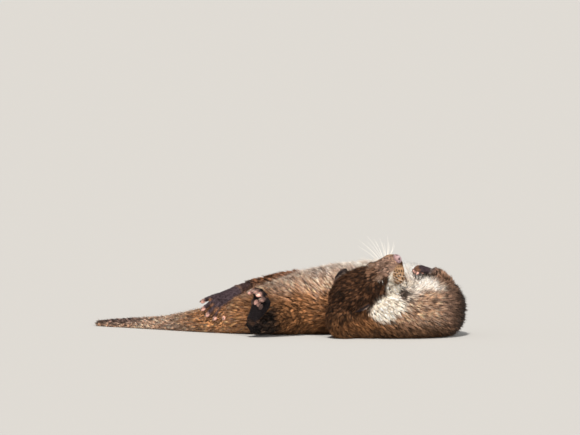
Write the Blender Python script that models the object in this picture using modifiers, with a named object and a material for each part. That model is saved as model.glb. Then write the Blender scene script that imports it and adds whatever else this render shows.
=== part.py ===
"""A Eurasian otter asleep on its back, curled so that its head lies against its own chest.

Metres, +Z up.  The tail runs to -X and a little to +Y, the trunk lies belly up along +X, and at its
+X end the body turns round towards -Y, so that the neck comes back along the floor and the head is
folded up over it with the nose to +X and +Z.  Every outline is taken at the tips of the coat.
The body is lofted and fused whole, then parted into its named lengths by thin cuts.
"""

import math
from collections import namedtuple

import bmesh
import bpy
import numpy as np
from mathutils import Matrix, Vector

# A ring of a loft: its centre, half width (across), half height (along up) and its up direction.
Ring = namedtuple("Ring", "place wide high up")
UP = (0.0, 0.0, 1.0)

# Driving sizes of the animal.
GAP = 0.0003                # clearance between solids that meet
BODY_VOXEL = 0.0026         # fusing grain of the body
LIMB_VOXEL = 0.0018         # fusing grain of legs and feet
BODY_TRIANGLES = 2940       # what each fused body is thinned to, about
HIND_LEG_TRIANGLES = 640
FORE_LEG_TRIANGLES = 310
LOFT_SIDES = 28             # sides of the spine's rings
SLUMP = 2.7                 # squareness of the underside, which spreads on the floor
ROUND = 2.05                # squareness of the upper side

# The spine from tail tip to upper neck, as rings at the tips of the coat.
TAIL = [
    Ring((-0.367, 0.262, 0.0050), 0.0045, 0.0050, UP),
    Ring((-0.345, 0.250, 0.0065), 0.0090, 0.0075, UP),
    Ring((-0.300, 0.224, 0.0085), 0.0140, 0.0100, UP),
    Ring((-0.250, 0.192, 0.0105), 0.0190, 0.0125, UP),
    Ring((-0.200, 0.158, 0.0150), 0.0250, 0.0170, UP),
    Ring((-0.150, 0.125, 0.0215), 0.0325, 0.0240, UP),
    Ring((-0.105, 0.100, 0.0290), 0.0405, 0.0315, UP),
]
TRUNK = [
    Ring((-0.060, 0.085, 0.0370), 0.0510, 0.0395, UP),
    Ring((-0.010, 0.077, 0.0480), 0.0640, 0.0505, UP),
    Ring((0.045, 0.075, 0.0580), 0.0720, 0.0605, UP),
    Ring((0.100, 0.078, 0.0655), 0.0745, 0.0680, UP),
    Ring((0.155, 0.082, 0.0695), 0.0745, 0.0720, UP),
    Ring((0.205, 0.085, 0.0710), 0.0730, 0.0735, UP),
    Ring((0.250, 0.083, 0.0690), 0.0690, 0.0715, UP),
]
BEND = [
    Ring((0.286, 0.066, 0.0640), 0.0655, 0.0665, UP),
    Ring((0.305, 0.038, 0.0590), 0.0635, 0.0615, UP),
    Ring((0.307, 0.006, 0.0545), 0.0615, 0.0570, UP),
    Ring((0.292, -0.023, 0.0510), 0.0570, 0.0535, UP),
]
NECK = [
    Ring((0.262, -0.041, 0.0490), 0.0510, 0.0515, UP),
    Ring((0.225, -0.047, 0.0460), 0.0460, 0.0485, UP),
    Ring((0.188, -0.045, 0.0420), 0.0415, 0.0445, UP),
    Ring((0.158, -0.044, 0.0380), 0.0380, 0.0400, UP),
    Ring((0.134, -0.046, 0.0350), 0.0335, 0.0360, UP),
    Ring((0.110, -0.050, 0.0330), 0.0200, 0.0270, UP),
]

# The head's own frame: midway between the ears, and its forward, crown and right directions.
HEAD_PLACE = Vector((0.147, -0.064, 0.0895))
HEAD_FORWARD = Vector((0.785, -0.14, 0.600)).normalized()
HEAD_CROWN = Vector((-0.38, -0.88, 0.29))
# Along the head: distance ahead of the ears, half width, half height, rise of the middle.
HEAD_PROFILE = [
    (-0.046, 0.016, 0.016, -0.004),
    (-0.036, 0.029, 0.026, -0.003),
    (-0.018, 0.0375, 0.032, -0.002),
    (0.004, 0.0405, 0.0345, -0.001),
    (0.028, 0.0380, 0.0330, -0.001),
    (0.048, 0.0310, 0.0285, -0.001),
    (0.066, 0.0255, 0.0240, -0.002),
    (0.084, 0.0240, 0.0205, -0.003),
    (0.100, 0.0225, 0.0180, -0.003),
    (0.110, 0.0170, 0.0135, -0.001),
    (0.116, 0.0080, 0.0070, 0.001),
]
MUZZLE_CUT = 0.074           # ahead of the ears
JAW_RISE = -0.0185           # the mouth line, below the middle of the head
EYE_RADIUS = 0.0062
EYE_AHEAD = 0.064
EYE_ASIDE = 0.0180
EYE_RISE = 0.0110
NOSE_PLACE = (0.1135, 0.0, 0.0035)
NOSE_RADII = (0.0065, 0.0088, 0.0066)
EAR_LENGTH = 0.039
EAR_HEIGHT = 0.0145
EAR_THICK = 0.0055
WHISKER_RADIUS = 0.00045
WHISKER_RINGS = 5

# Legs as rings from the joint that is buried in the body down to the heel or wrist.
HIND_LEFT = [
    Ring((0.030, 0.052, 0.048), 0.034, 0.036, UP),
    Ring((0.036, 0.026, 0.042), 0.031, 0.034, UP),
    Ring((0.004, -0.006, 0.034), 0.0235, 0.027, UP),
    Ring((-0.021, -0.027, 0.026), 0.0175, 0.0200, UP),
    Ring((-0.043, -0.034, 0.0230), 0.0150, 0.0185, UP),
    Ring((-0.060, -0.035, 0.0190), 0.0130, 0.0155, UP),
]
HIND_RIGHT = [
    Ring((0.000, 0.098, 0.060), 0.034, 0.034, UP),
    Ring((0.040, 0.118, 0.090), 0.029, 0.031, UP),
    Ring((0.010, 0.124, 0.093), 0.025, 0.027, UP),
    Ring((-0.030, 0.126, 0.0900), 0.0185, 0.0205, UP),
    Ring((-0.058, 0.112, 0.0890), 0.0135, 0.0150, UP),
    Ring((-0.078, 0.100, 0.0855), 0.0110, 0.0115, UP),
]
FORE_RIGHT = [
    Ring((0.318, 0.030, 0.066), 0.030, 0.030, (0.0, 1.0, 0.0)),
    Ring((0.335, 0.030, 0.090), 0.0205, 0.0225, (0.0, 1.0, 0.0)),
    Ring((0.323, 0.028, 0.1145), 0.0150, 0.0160, (0.0, 1.0, 0.0)),
    Ring((0.304, 0.026, 0.1265), 0.0115, 0.0120, (0.0, 1.0, 0.0)),
]
FORE_LEFT = [
    Ring((0.258, 0.014, 0.082), 0.0240, 0.0240, (0.0, 1.0, 0.0)),
    Ring((0.240, 0.006, 0.104), 0.0190, 0.0190, (0.0, 1.0, 0.0)),
    Ring((0.222, 0.014, 0.1205), 0.0140, 0.0140, (0.0, 1.0, 0.0)),
    Ring((0.203, 0.026, 0.1335), 0.0110, 0.0110, (0.0, 1.0, 0.0)),
]

# A foot: heel, direction to the toes, back-of-foot direction, sole length, toe length, half width
# at the ball, splay between outer toes, curl of the toes towards the sole.
Foot = namedtuple("Foot", "heel ahead back medial sole toe half splay curl")
FOOT_LEFT = Foot((-0.055, -0.034, 0.0210), (0.43, -0.06, 0.90), (0.76, 0.62, -0.32), 1,
                 0.059, 0.039, 0.0250, math.radians(38), math.radians(112))
FOOT_RIGHT = Foot((-0.070, 0.103, 0.0900), (-0.78, -0.34, -0.52), (-0.30, -0.74, 0.60), -1,
                  0.055, 0.043, 0.0235, math.radians(56), math.radians(16))
PAW_RIGHT = Foot((0.306, 0.026, 0.1265), (-0.96, -0.10, 0.26), (0.20, -0.30, 0.93), -1,
                 0.024, 0.017, 0.0150, math.radians(40), math.radians(60))
PAW_LEFT = Foot((0.205, 0.025, 0.1325), (-0.84, 0.50, 0.20), (0.10, -0.30, 0.95), 1,
                0.024, 0.018, 0.0150, math.radians(40), math.radians(50))
TOE_SHARES = (0.74, 0.93, 1.0, 0.98, 0.84)      # lengths from the inner toe out
TOE_BONES = (0.36, 0.32, 0.32)                  # shares of a toe's length
TOE_BENDS = (0.15, 0.40, 0.45)                  # shares of its curl
TOE_WIDTHS = (0.22, 0.25, 0.225, 0.215, 0.19)   # half widths along it, in half widths of the foot
WEB_THICK = 0.0030
WEB_REACH = 0.75                                # how far the web's edge comes along the last bone but one

# Where the body is parted: a place on the spine, the way it runs there, half width of the cut
# across the spine and half its height.
CUTS = {
    "tail_tip_cut": ((-0.270, 0.205, 0.010), (0.83, -0.56, 0.0), 0.050, 0.040),
    "tail_mid_cut": ((-0.178, 0.144, 0.020), (0.83, -0.56, 0.0), 0.055, 0.060),
    "tail_base_cut": ((-0.085, 0.093, 0.035), (0.93, -0.36, 0.0), 0.095, 0.095),
    "loin_cut": ((0.030, 0.075, 0.055), (1.0, 0.0, 0.0), 0.110, 0.110),
    "belly_cut": ((0.145, 0.0835, 0.070), (1.0, 0.06, 0.0), 0.0800, 0.090),
    "chest_cut": ((0.254, 0.084, 0.070), (0.93, -0.37, 0.0), 0.0790, 0.090),
    "shoulder_cut": ((0.312, 0.010, 0.060), (0.05, -1.0, 0.0), 0.080, 0.080),
    "neck_cut": ((0.250, -0.053, 0.040), (-0.97, -0.22, 0.0), 0.0640, 0.064),
    "fold_cut": ((0.165, -0.066, 0.052), (-0.33, 0.0, 0.94), 0.0660, 0.100),
}
# What each length is called, with a point inside it.
LENGTHS = {
    "tail_tip": (-0.325, 0.235, 0.008),
    "tail_middle": (-0.225, 0.175, 0.013),
    "tail_base": (-0.130, 0.118, 0.026),
    "rump": (-0.025, 0.080, 0.045),
    "belly": (0.088, 0.078, 0.065),
    "chest": (0.205, 0.084, 0.070),
    "shoulders": (0.300, 0.055, 0.065),
    "neck_base": (0.290, -0.030, 0.052),
    "neck": (0.185, -0.055, 0.040),
    "head": (0.160, -0.055, 0.095),
    "muzzle": (0.225, -0.065, 0.150),
    "jaw": (0.230, -0.050, 0.120),
}

# Finishes: colour and roughness.
COATS = {
    "brown_coat": ((0.135, 0.075, 0.040, 1.0), 0.75),
    "dark_coat": ((0.055, 0.030, 0.018, 1.0), 0.75),
    "buff_coat": ((0.330, 0.225, 0.155, 1.0), 0.75),
    "bare_skin": ((0.040, 0.030, 0.034, 1.0), 0.60),
    "nose_skin": ((0.360, 0.190, 0.190, 1.0), 0.50),
    "wet_eye": ((0.010, 0.007, 0.006, 1.0), 0.15),
    "whisker": ((0.850, 0.830, 0.780, 1.0), 0.45),
}
DARK_NODES = ("head", "hind_left_leg", "hind_right_shank", "hind_right_thigh")
BUFF_NODES = ("muzzle", "jaw", "belly", "chest")


def clear_scene():
    """Empties the scene and makes the two collections."""
    for obj in list(bpy.data.objects):
        bpy.data.objects.remove(obj, do_unlink=True)
    made = []
    for name in ("eurasian_otter", "cutters"):
        collection = bpy.data.collections.new(name)
        bpy.context.scene.collection.children.link(collection)
        made.append(collection)
    return made


def new_object(name, mesh, collection):
    """An object of this mesh in the collection."""
    obj = bpy.data.objects.new(name, mesh)
    collection.objects.link(obj)
    return obj


def mesh_of(bm, name):
    """A mesh of this bmesh, which is freed."""
    bmesh.ops.recalc_face_normals(bm, faces=bm.faces)
    mesh = bpy.data.meshes.new(name)
    bm.to_mesh(mesh)
    bm.free()
    return mesh


def finish(obj, coat):
    """Gives the object its own material."""
    material = bpy.data.materials.new(obj.name + "_" + coat)
    material.use_nodes = True
    shader = material.node_tree.nodes["Principled BSDF"]
    colour, roughness = COATS[coat]
    shader.inputs["Base Color"].default_value = colour
    shader.inputs["Roughness"].default_value = roughness
    shader.inputs["Metallic"].default_value = 0.0
    obj.data.materials.clear()
    obj.data.materials.append(material)


def between(a, b, c, d, t):
    """The point at t between b and c on the smooth curve through a, b, c and d."""
    return 0.5 * (2 * b + (c - a) * t + (2 * a - 5 * b + 4 * c - d) * t * t
                  + (3 * b - a - 3 * c + d) * t ** 3)


def close_rings(rings, steps):
    """Rings set closely along the smooth curve through the named ones."""
    rows = [np.array([*r.place, r.wide, r.high, *r.up]) for r in rings]
    rows = [2 * rows[0] - rows[1], *rows, 2 * rows[-1] - rows[-2]]
    made = []
    for i in range(1, len(rows) - 2):
        for k in range(steps):
            made.append(between(rows[i - 1], rows[i], rows[i + 1], rows[i + 2], k / steps))
    made.append(rows[-2])
    return [Ring(r[:3], max(r[3], 1e-4), max(r[4], 1e-4), r[5:]) for r in made]


def section(ring, tangent, sides, slump):
    """The points of a ring: an ellipse, squarer below where the body slumps."""
    up = Vector(ring.up) - tangent * tangent.dot(Vector(ring.up))
    up.normalize()
    across = tangent.cross(up)
    points = []
    for i in range(sides):
        angle = 2 * math.pi * i / sides
        c, s = math.cos(angle), math.sin(angle)
        power = 2 / (slump if s < 0 else ROUND)
        wide = math.copysign(abs(c) ** power, c) * ring.wide
        high = math.copysign(abs(s) ** power, s) * ring.high
        points.append(Vector(ring.place) + across * wide + up * high)
    return points


def loft(rings, steps=4, sides=16, slump=ROUND):
    """A closed body through the rings, with blunt ends."""
    rings = close_rings(rings, steps)
    places = [Vector(r.place) for r in rings]
    bm = bmesh.new()
    rows = []
    for i, ring in enumerate(rings):
        tangent = places[min(i + 1, len(rings) - 1)] - places[max(i - 1, 0)]
        rows.append([bm.verts.new(p) for p in section(ring, tangent.normalized(), sides, slump)])
    for a, b in zip(rows, rows[1:]):
        for j in range(sides):
            k = (j + 1) % sides
            bm.faces.new((a[j], a[k], b[k], b[j]))
    for row, ring in ((rows[0], rings[0]), (rows[-1], rings[-1])):
        tip = bm.verts.new(Vector(ring.place))
        for j in range(sides):
            bm.faces.new((row[j], row[(j + 1) % sides], tip))
    return mesh_of(bm, "loft")


def ball(place, radii, axes=None):
    """An ellipsoid; axes are the directions of its three radii."""
    frame = Matrix.Identity(3)
    if axes:
        frame = Matrix([Vector(a).normalized() for a in axes]).transposed()
    matrix = Matrix.Translation(Vector(place)) @ (frame @ Matrix.Diagonal(radii)).to_4x4()
    bm = bmesh.new()
    bmesh.ops.create_uvsphere(bm, u_segments=14, v_segments=8, radius=1.0, matrix=matrix)
    return mesh_of(bm, "ball")


def evaluated(obj):
    """The object's mesh with its modifiers applied."""
    graph = bpy.context.evaluated_depsgraph_get()
    return bpy.data.meshes.new_from_object(obj.evaluated_get(graph))


def apply_modifiers(obj):
    """Bakes the modifiers into the mesh."""
    mesh = evaluated(obj)
    obj.modifiers.clear()
    obj.data = mesh


def joined(meshes, name):
    """One mesh of several, still overlapping."""
    bm = bmesh.new()
    for mesh in meshes:
        bm.from_mesh(mesh)
    whole = bpy.data.meshes.new(name)
    bm.to_mesh(whole)
    bm.free()
    return whole


def fuse(name, meshes, collection, voxel, smoothing, triangles):
    """Grows overlapping pieces into one smooth body of about so many triangles."""
    obj = new_object(name, joined(meshes, name), collection)
    remesh = obj.modifiers.new("fuse", "REMESH")
    remesh.mode = "VOXEL"
    remesh.voxel_size = voxel
    smooth = obj.modifiers.new("smooth", "SMOOTH")
    smooth.factor = 0.5
    smooth.iterations = smoothing
    apply_modifiers(obj)
    count = sum(len(p.vertices) - 2 for p in obj.data.polygons)
    thin = obj.modifiers.new("thin", "DECIMATE")
    thin.ratio = min(1.0, triangles / count)
    apply_modifiers(obj)
    return obj


def grown(obj, amount, collection):
    """A cutter that is the object, larger by this much all round."""
    cutter = new_object(obj.name + "_room", obj.data.copy(), collection)
    cutter.hide_render = True
    cutter.display_type = "WIRE"
    mesh = cutter.data
    normals = [v.normal.copy() for v in mesh.vertices]
    for vertex, normal in zip(mesh.vertices, normals):
        vertex.co += normal * amount
    return cutter


def cut(obj, cutter):
    """Takes the cutter's space out of the object."""
    boolean = obj.modifiers.new("cut", "BOOLEAN")
    boolean.operation = "DIFFERENCE"
    boolean.solver = "EXACT"
    boolean.object = cutter
    apply_modifiers(obj)


def plate(name, place, normal, across, half_across, half_along, collection):
    """A thin cutter through the body, normal to the way given, its width along across."""
    normal = Vector(normal).normalized()
    across = Vector(across)
    across = (across - normal * normal.dot(across)).normalized()
    turn = Matrix((across, normal.cross(across), normal)).transposed().to_4x4()
    size = Matrix.Diagonal((2 * half_across, 2 * half_along, GAP, 1.0))
    bm = bmesh.new()
    bmesh.ops.create_cube(bm, size=1.0, matrix=Matrix.Translation(Vector(place)) @ turn @ size)
    cutter = new_object(name, mesh_of(bm, name), collection)
    cutter.hide_render = True
    cutter.display_type = "WIRE"
    return cutter


def loose_pieces(obj):
    """The separate bodies of a mesh, as meshes."""
    bm = bmesh.new()
    bm.from_mesh(obj.data)
    bm.verts.ensure_lookup_table()
    seen = set()
    pieces = []
    for start in bm.verts:
        if start.index in seen:
            continue
        stack, group = [start], []
        seen.add(start.index)
        while stack:
            vertex = stack.pop()
            group.append(vertex.index)
            for edge in vertex.link_edges:
                other = edge.other_vert(vertex)
                if other.index not in seen:
                    seen.add(other.index)
                    stack.append(other)
        pieces.append(set(group))
    meshes = []
    for group in pieces:
        part = bm.copy()
        part.verts.ensure_lookup_table()
        extra = [v for v in part.verts if v.index not in group]
        bmesh.ops.delete(part, geom=extra, context="VERTS")
        meshes.append(mesh_of(part, "piece"))
    bm.free()
    return meshes


def centre(mesh):
    """The middle of a mesh's box."""
    points = np.array([v.co for v in mesh.vertices])
    return Vector((points.min(0) + points.max(0)) / 2)


def part_out(obj, names, collection):
    """Turns the separate bodies of obj into objects named after the nearest named point."""
    made = {}
    for mesh in loose_pieces(obj):
        middle = centre(mesh)
        name = min(names, key=lambda n: (Vector(names[n]) - middle).length)
        if name in made:
            raise ValueError(f"two pieces are nearest to {name}")
        made[name] = new_object(name, mesh, collection)
    missing = set(names) - set(made)
    if missing:
        raise ValueError(f"no piece for {sorted(missing)}")
    bpy.data.objects.remove(obj, do_unlink=True)
    return made


def head_point(ahead, aside, rise):
    """A point in the head's own frame: ahead of the ears, to its right, towards the crown."""
    crown = (HEAD_CROWN - HEAD_FORWARD * HEAD_FORWARD.dot(HEAD_CROWN)).normalized()
    right = HEAD_FORWARD.cross(crown)
    return HEAD_PLACE + HEAD_FORWARD * ahead + right * aside + crown * rise


def head_axes():
    """The head's forward, right and crown directions."""
    origin = head_point(0, 0, 0)
    return [head_point(*step) - origin for step in ((1, 0, 0), (0, 1, 0), (0, 0, 1))]


def head_shapes():
    """The skull, muzzle, whisker pads, cheeks, brow and chin."""
    axes = head_axes()
    crown = tuple(axes[2])
    skull = [Ring(tuple(head_point(s, 0, rise)), w, h, crown) for s, w, h, rise in HEAD_PROFILE]
    shapes = [loft(skull, steps=4, sides=24)]
    shapes.append(ball(head_point(0.095, 0.0150, -0.008), (0.0195, 0.0160, 0.0130), axes))
    shapes.append(ball(head_point(0.091, 0.0270, -0.013), (0.0165, 0.0140, 0.0115), axes))
    shapes.append(ball(head_point(0.092, -0.0130, -0.007), (0.0170, 0.0125, 0.0120), axes))
    shapes.append(ball(head_point(0.078, 0.0, -0.020), (0.0240, 0.0160, 0.0085), axes))
    for side in (-1, 1):
        cheek = head_point(0.030, side * 0.024, -0.012)
        shapes.append(ball(cheek, (0.030, 0.018, 0.022), axes))
        brow = head_point(0.056, side * 0.016, 0.013)
        shapes.append(ball(brow, (0.014, 0.009, 0.008), axes))
    return shapes


def body_shapes():
    """Spine, head, haunches, shoulder and the fold of the nape."""
    shapes = [loft(TAIL + TRUNK + BEND + NECK, steps=6, sides=LOFT_SIDES, slump=SLUMP)]
    shapes += head_shapes()
    shapes.append(ball((0.130, -0.058, 0.044), (0.036, 0.035, 0.050)))
    shapes.append(ball((0.148, -0.052, 0.044), (0.045, 0.036, 0.044)))
    shapes.append(ball((0.184, -0.046, 0.056), (0.034, 0.033, 0.034)))
    shapes.append(ball((0.194, -0.052, 0.076), (0.030, 0.028, 0.032)))
    shapes.append(ball((0.220, -0.052, 0.096), (0.021, 0.024, 0.026)))
    shapes.append(ball((-0.005, 0.048, 0.045), (0.058, 0.040, 0.044)))
    shapes.append(ball((0.030, 0.034, 0.044), (0.056, 0.036, 0.043)))
    shapes.append(ball((-0.005, 0.108, 0.052), (0.055, 0.038, 0.046)))
    shapes.append(ball((0.322, 0.026, 0.060), (0.042, 0.040, 0.046)))
    return shapes


def foot_shapes(foot):
    """Sole, five toes and the webs between them."""
    ahead = Vector(foot.ahead).normalized()
    back = Vector(foot.back)
    back = (back - ahead * ahead.dot(back)).normalized()
    inner = ahead.cross(back) * foot.medial
    heel = Vector(foot.heel)
    up = tuple(back)

    def at(along, aside, rise):
        return heel + ahead * along + inner * aside + back * rise

    thick = foot.half * 0.42
    shapes = [loft([
        Ring(tuple(at(-0.004, 0, 0)), foot.half * 0.50, thick * 1.10, up),
        Ring(tuple(at(foot.sole * 0.40, 0, 0)), foot.half * 0.66, thick * 1.05, up),
        Ring(tuple(at(foot.sole * 0.80, 0, 0)), foot.half * 0.96, thick, up),
        Ring(tuple(at(foot.sole * 1.02, 0, 0)), foot.half * 0.92, thick * 0.80, up),
    ], steps=3, sides=14)]
    toes = []
    for i, share in enumerate(TOE_SHARES):
        spread = 1 - i / 2                         # 1 at the inner toe, -1 at the outer
        angle = foot.splay / 2 * spread
        way = ahead * math.cos(angle) + inner * math.sin(angle)
        point = at(foot.sole * (0.93 - 0.07 * spread ** 2), foot.half * 0.78 * spread, 0)
        path = [point - way * foot.sole * 0.25]
        bend = 0.0
        path.append(point)
        for bone, share_of_curl in zip(TOE_BONES, TOE_BENDS):
            bend += foot.curl * share_of_curl
            step = way * math.cos(bend) - back * math.sin(bend)
            point = point + step * foot.toe * share * bone
            path.append(point)
        toes.append(path)
        widths = [share_of_half * foot.half for share_of_half in TOE_WIDTHS]
        rings = [Ring(tuple(p), w, w, tuple(inner)) for p, w in zip(path, widths)]
        shapes.append(loft(rings, steps=3, sides=10))
    for a, b in zip(toes, toes[1:]):
        shapes.append(web(a[1:4], b[1:4]))
    return shapes


def web(a, b):
    """The skin between two toes, a thin plate with its free edge drawn back."""
    middle = [(p + q) / 2 for p, q in zip(a, b)]
    edge = middle[-2].lerp(middle[-1], WEB_REACH)
    outline = [a[0], a[1], a[2], edge, b[2], b[1], b[0]]
    normal = (b[1] - a[1]).cross(middle[-1] - middle[0]).normalized() * WEB_THICK / 2
    bm = bmesh.new()
    top = [bm.verts.new(p + normal) for p in outline]
    low = [bm.verts.new(p - normal) for p in outline]
    bm.faces.new(top)
    bm.faces.new(list(reversed(low)))
    for i in range(len(outline)):
        k = (i + 1) % len(outline)
        bm.faces.new((top[i], low[i], low[k], top[k]))
    bmesh.ops.triangulate(bm, faces=bm.faces)
    return mesh_of(bm, "web")


def build_leg(name, rings, foot, body_room, plates, names, triangles, parts, cutters):
    """A leg and its foot, fitted against the body and parted into its lengths."""
    shapes = [loft(rings, steps=5, sides=18)] + foot_shapes(foot)
    leg = fuse(name, shapes, parts, LIMB_VOXEL, 3, triangles)
    cut(leg, body_room)
    for i, (place, way, half) in enumerate(plates):
        cut(leg, plate(f"{name}_cut_{i}", place, way, foot.back, half, half, cutters))
    return part_out(leg, names, parts)


def ground(cutters):
    """The block below the floor, which flattens the underside."""
    bm = bmesh.new()
    matrix = Matrix.Translation((0, 0, -0.1)) @ Matrix.Diagonal((2.0, 2.0, 0.2, 1.0))
    bmesh.ops.create_cube(bm, size=1.0, matrix=matrix)
    block = new_object("ground", mesh_of(bm, "ground"), cutters)
    block.hide_render = True
    block.display_type = "WIRE"
    return block


def ear_mesh(side):
    """A small rounded ear, laid back along the side of the head."""
    ahead, right, crown = head_axes()
    out = (right * side * 0.80 + crown * 0.30 - ahead * 0.25).normalized()
    root = head_point(0.003, side * 0.0360, 0.0060)
    shape = ((-0.20, 0.36, 1.10), (0.25, 0.48, 0.95), (0.62, 0.44, 0.75), (0.92, 0.26, 0.50))
    rings = []
    for reach, share, thick in shape:
        place = root + out * EAR_HEIGHT * reach + crown * 0.003 * reach ** 2
        rings.append(Ring(tuple(place), EAR_LENGTH * share, EAR_THICK / 2 * thick, tuple(crown)))
    return loft(rings, steps=2, sides=12)


def whisker_mesh(root, tip, droop):
    """One long whisker, bowed a little."""
    root, tip = Vector(root), Vector(tip)
    bow = Vector(droop)
    rings = []
    for i in range(WHISKER_RINGS):
        t = i / (WHISKER_RINGS - 1)
        place = root.lerp(tip, t) + bow * math.sin(math.pi * t)
        radius = WHISKER_RADIUS * (1.0 - 0.35 * t)
        rings.append(Ring(tuple(place), radius, radius, (0.3, -0.9, 0.3)))
    return loft(rings, steps=1, sides=5)


# Whiskers: where each leaves the head's frame, and its tip from there in the same frame.
WHISKERS = {
    "whisker_left_1": ((0.096, -0.017, 0.000), (0.012, -0.045, 0.012)),
    "whisker_left_2": ((0.088, -0.020, -0.002), (-0.004, -0.046, 0.010)),
    "whisker_left_3": ((0.103, -0.014, 0.000), (0.026, -0.026, 0.010)),
    "whisker_right_1": ((0.098, 0.022, -0.008), (0.024, 0.034, -0.020)),
    "whisker_right_2": ((0.088, 0.025, -0.012), (0.004, 0.036, -0.024)),
}


def build_body(parts, cutters):
    """The whole flesh of spine and head, with room for the eyes and nose."""
    body = fuse("body", body_shapes(), parts, BODY_VOXEL, 4, BODY_TRIANGLES)
    cut(body, ground(cutters))
    return body


def build_face(body, body_room, parts, cutters):
    """Eyes and nose let into the head, ears and whiskers on it."""
    axes = head_axes()
    made = []
    for name, side in (("eye_left", -1), ("eye_right", 1)):
        place = head_point(EYE_AHEAD, side * EYE_ASIDE, EYE_RISE)
        eye = new_object(name, ball(place, (EYE_RADIUS,) * 3, axes), parts)
        cut(body, grown(eye, GAP, cutters))
        finish(eye, "wet_eye")
        made.append(eye)
    nose = new_object("nose", ball(head_point(*NOSE_PLACE), NOSE_RADII, axes), parts)
    cut(body, grown(nose, GAP, cutters))
    finish(nose, "nose_skin")
    for name, side in (("ear_left", -1), ("ear_right", 1)):
        ear = new_object(name, ear_mesh(side), parts)
        cut(ear, body_room)
        finish(ear, "dark_coat")
        made.append(ear)
    for name, (root, reach) in WHISKERS.items():
        start = head_point(*root)
        tip = start + head_point(*reach) - head_point(0, 0, 0)
        whisker = new_object(name, whisker_mesh(start, tip, axes[0] * -0.003), parts)
        cut(whisker, body_room)
        finish(whisker, "whisker")
        made.append(whisker)
    return made + [nose]


def build_legs(body_room, parts, cutters):
    """All four legs."""
    made = {}
    made.update(build_leg(
        "hind_left", HIND_LEFT, FOOT_LEFT, body_room,
        [((-0.043, -0.033, 0.032), (-0.58, -0.30, 0.80), 0.040)],
        {"hind_left_leg": (0.002, -0.010, 0.030), "hind_left_foot": (-0.036, -0.033, 0.066)},
        HIND_LEG_TRIANGLES, parts, cutters))
    made.update(build_leg(
        "hind_right", HIND_RIGHT, FOOT_RIGHT, body_room,
        [((0.006, 0.127, 0.095), (1.0, -0.15, 0.10), 0.050),
         ((-0.074, 0.102, 0.0875), (0.90, 0.35, 0.26), 0.030)],
        {"hind_right_thigh": (0.030, 0.120, 0.090), "hind_right_shank": (-0.030, 0.126, 0.088),
         "hind_right_foot": (-0.115, 0.078, 0.062)},
        HIND_LEG_TRIANGLES, parts, cutters))
    made.update(build_leg(
        "fore_right", FORE_RIGHT, PAW_RIGHT, body_room,
        [((0.306, 0.026, 0.125), (0.90, 0.05, -0.35), 0.024)],
        {"fore_right_leg": (0.330, 0.029, 0.105), "fore_right_paw": (0.285, 0.024, 0.130)},
        FORE_LEG_TRIANGLES, parts, cutters))
    made.update(build_leg(
        "fore_left", FORE_LEFT, PAW_LEFT, body_room,
        [((0.207, 0.024, 0.131), (0.80, -0.45, -0.35), 0.022)],
        {"fore_left_leg": (0.230, 0.012, 0.112), "fore_left_paw": (0.187, 0.036, 0.138)},
        FORE_LEG_TRIANGLES, parts, cutters))
    return made


def part_spine(body, cutters):
    """Parts the body into its lengths, and the head into skull, muzzle and jaw."""
    for name, (place, way, half_across, half_along) in CUTS.items():
        across = (0, 1, 0) if name == "fold_cut" else Vector(way).cross(Vector(UP))
        cut(body, plate(name, place, way, across, half_across, half_along, cutters))
    ahead, right, crown = head_axes()
    middle = head_point(MUZZLE_CUT, 0.010, -0.020)
    cut(body, plate("muzzle_cut", middle, ahead, right, 0.055, 0.065, cutters))
    middle = head_point(MUZZLE_CUT + 0.030, 0.010, JAW_RISE)
    cut(body, plate("jaw_cut", middle, crown, right, 0.055, 0.0302, cutters))


def stand_at_origin(objects):
    """Moves all the meshes so that the origin is under the middle of the whole."""
    points = np.array([v.co for obj in objects for v in obj.data.vertices])
    low, high = points.min(0), points.max(0)
    shift = Vector((-(low[0] + high[0]) / 2, -(low[1] + high[1]) / 2, -low[2]))
    for obj in objects:
        obj.data.transform(Matrix.Translation(shift))


def coat_of(name):
    """The finish of a length of the body or of a leg."""
    if name.endswith(("foot", "paw")):
        return "bare_skin"
    if name in DARK_NODES:
        return "dark_coat"
    return "buff_coat" if name in BUFF_NODES else "brown_coat"


def main():
    """Builds the otter."""
    parts, cutters = clear_scene()
    body = build_body(parts, cutters)
    body_room = grown(body, GAP * 1.5, cutters)
    made = build_face(body, body_room, parts, cutters)
    legs = build_legs(body_room, parts, cutters)
    part_spine(body, cutters)
    lengths = part_out(body, LENGTHS, parts)
    for name, obj in {**lengths, **legs}.items():
        finish(obj, coat_of(name))
        made.append(obj)
    stand_at_origin(made)


main()
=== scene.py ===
"""The looks of a life-size Eurasian otter asleep on its back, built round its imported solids.

One skin takes the place of all the nodes of flesh.  Over it grow tufts of solid mesh that follow
the lie of the coat.  Eyes, nose, whiskers, claws and pads are pieces of their own.
"""

import logging
import math
from dataclasses import dataclass, field
from enum import Enum
from typing import Callable

import bmesh
import bpy
import numpy as np
from mathutils import Euler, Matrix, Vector
from mathutils.bvhtree import BVHTree
from mathutils.kdtree import KDTree

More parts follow.
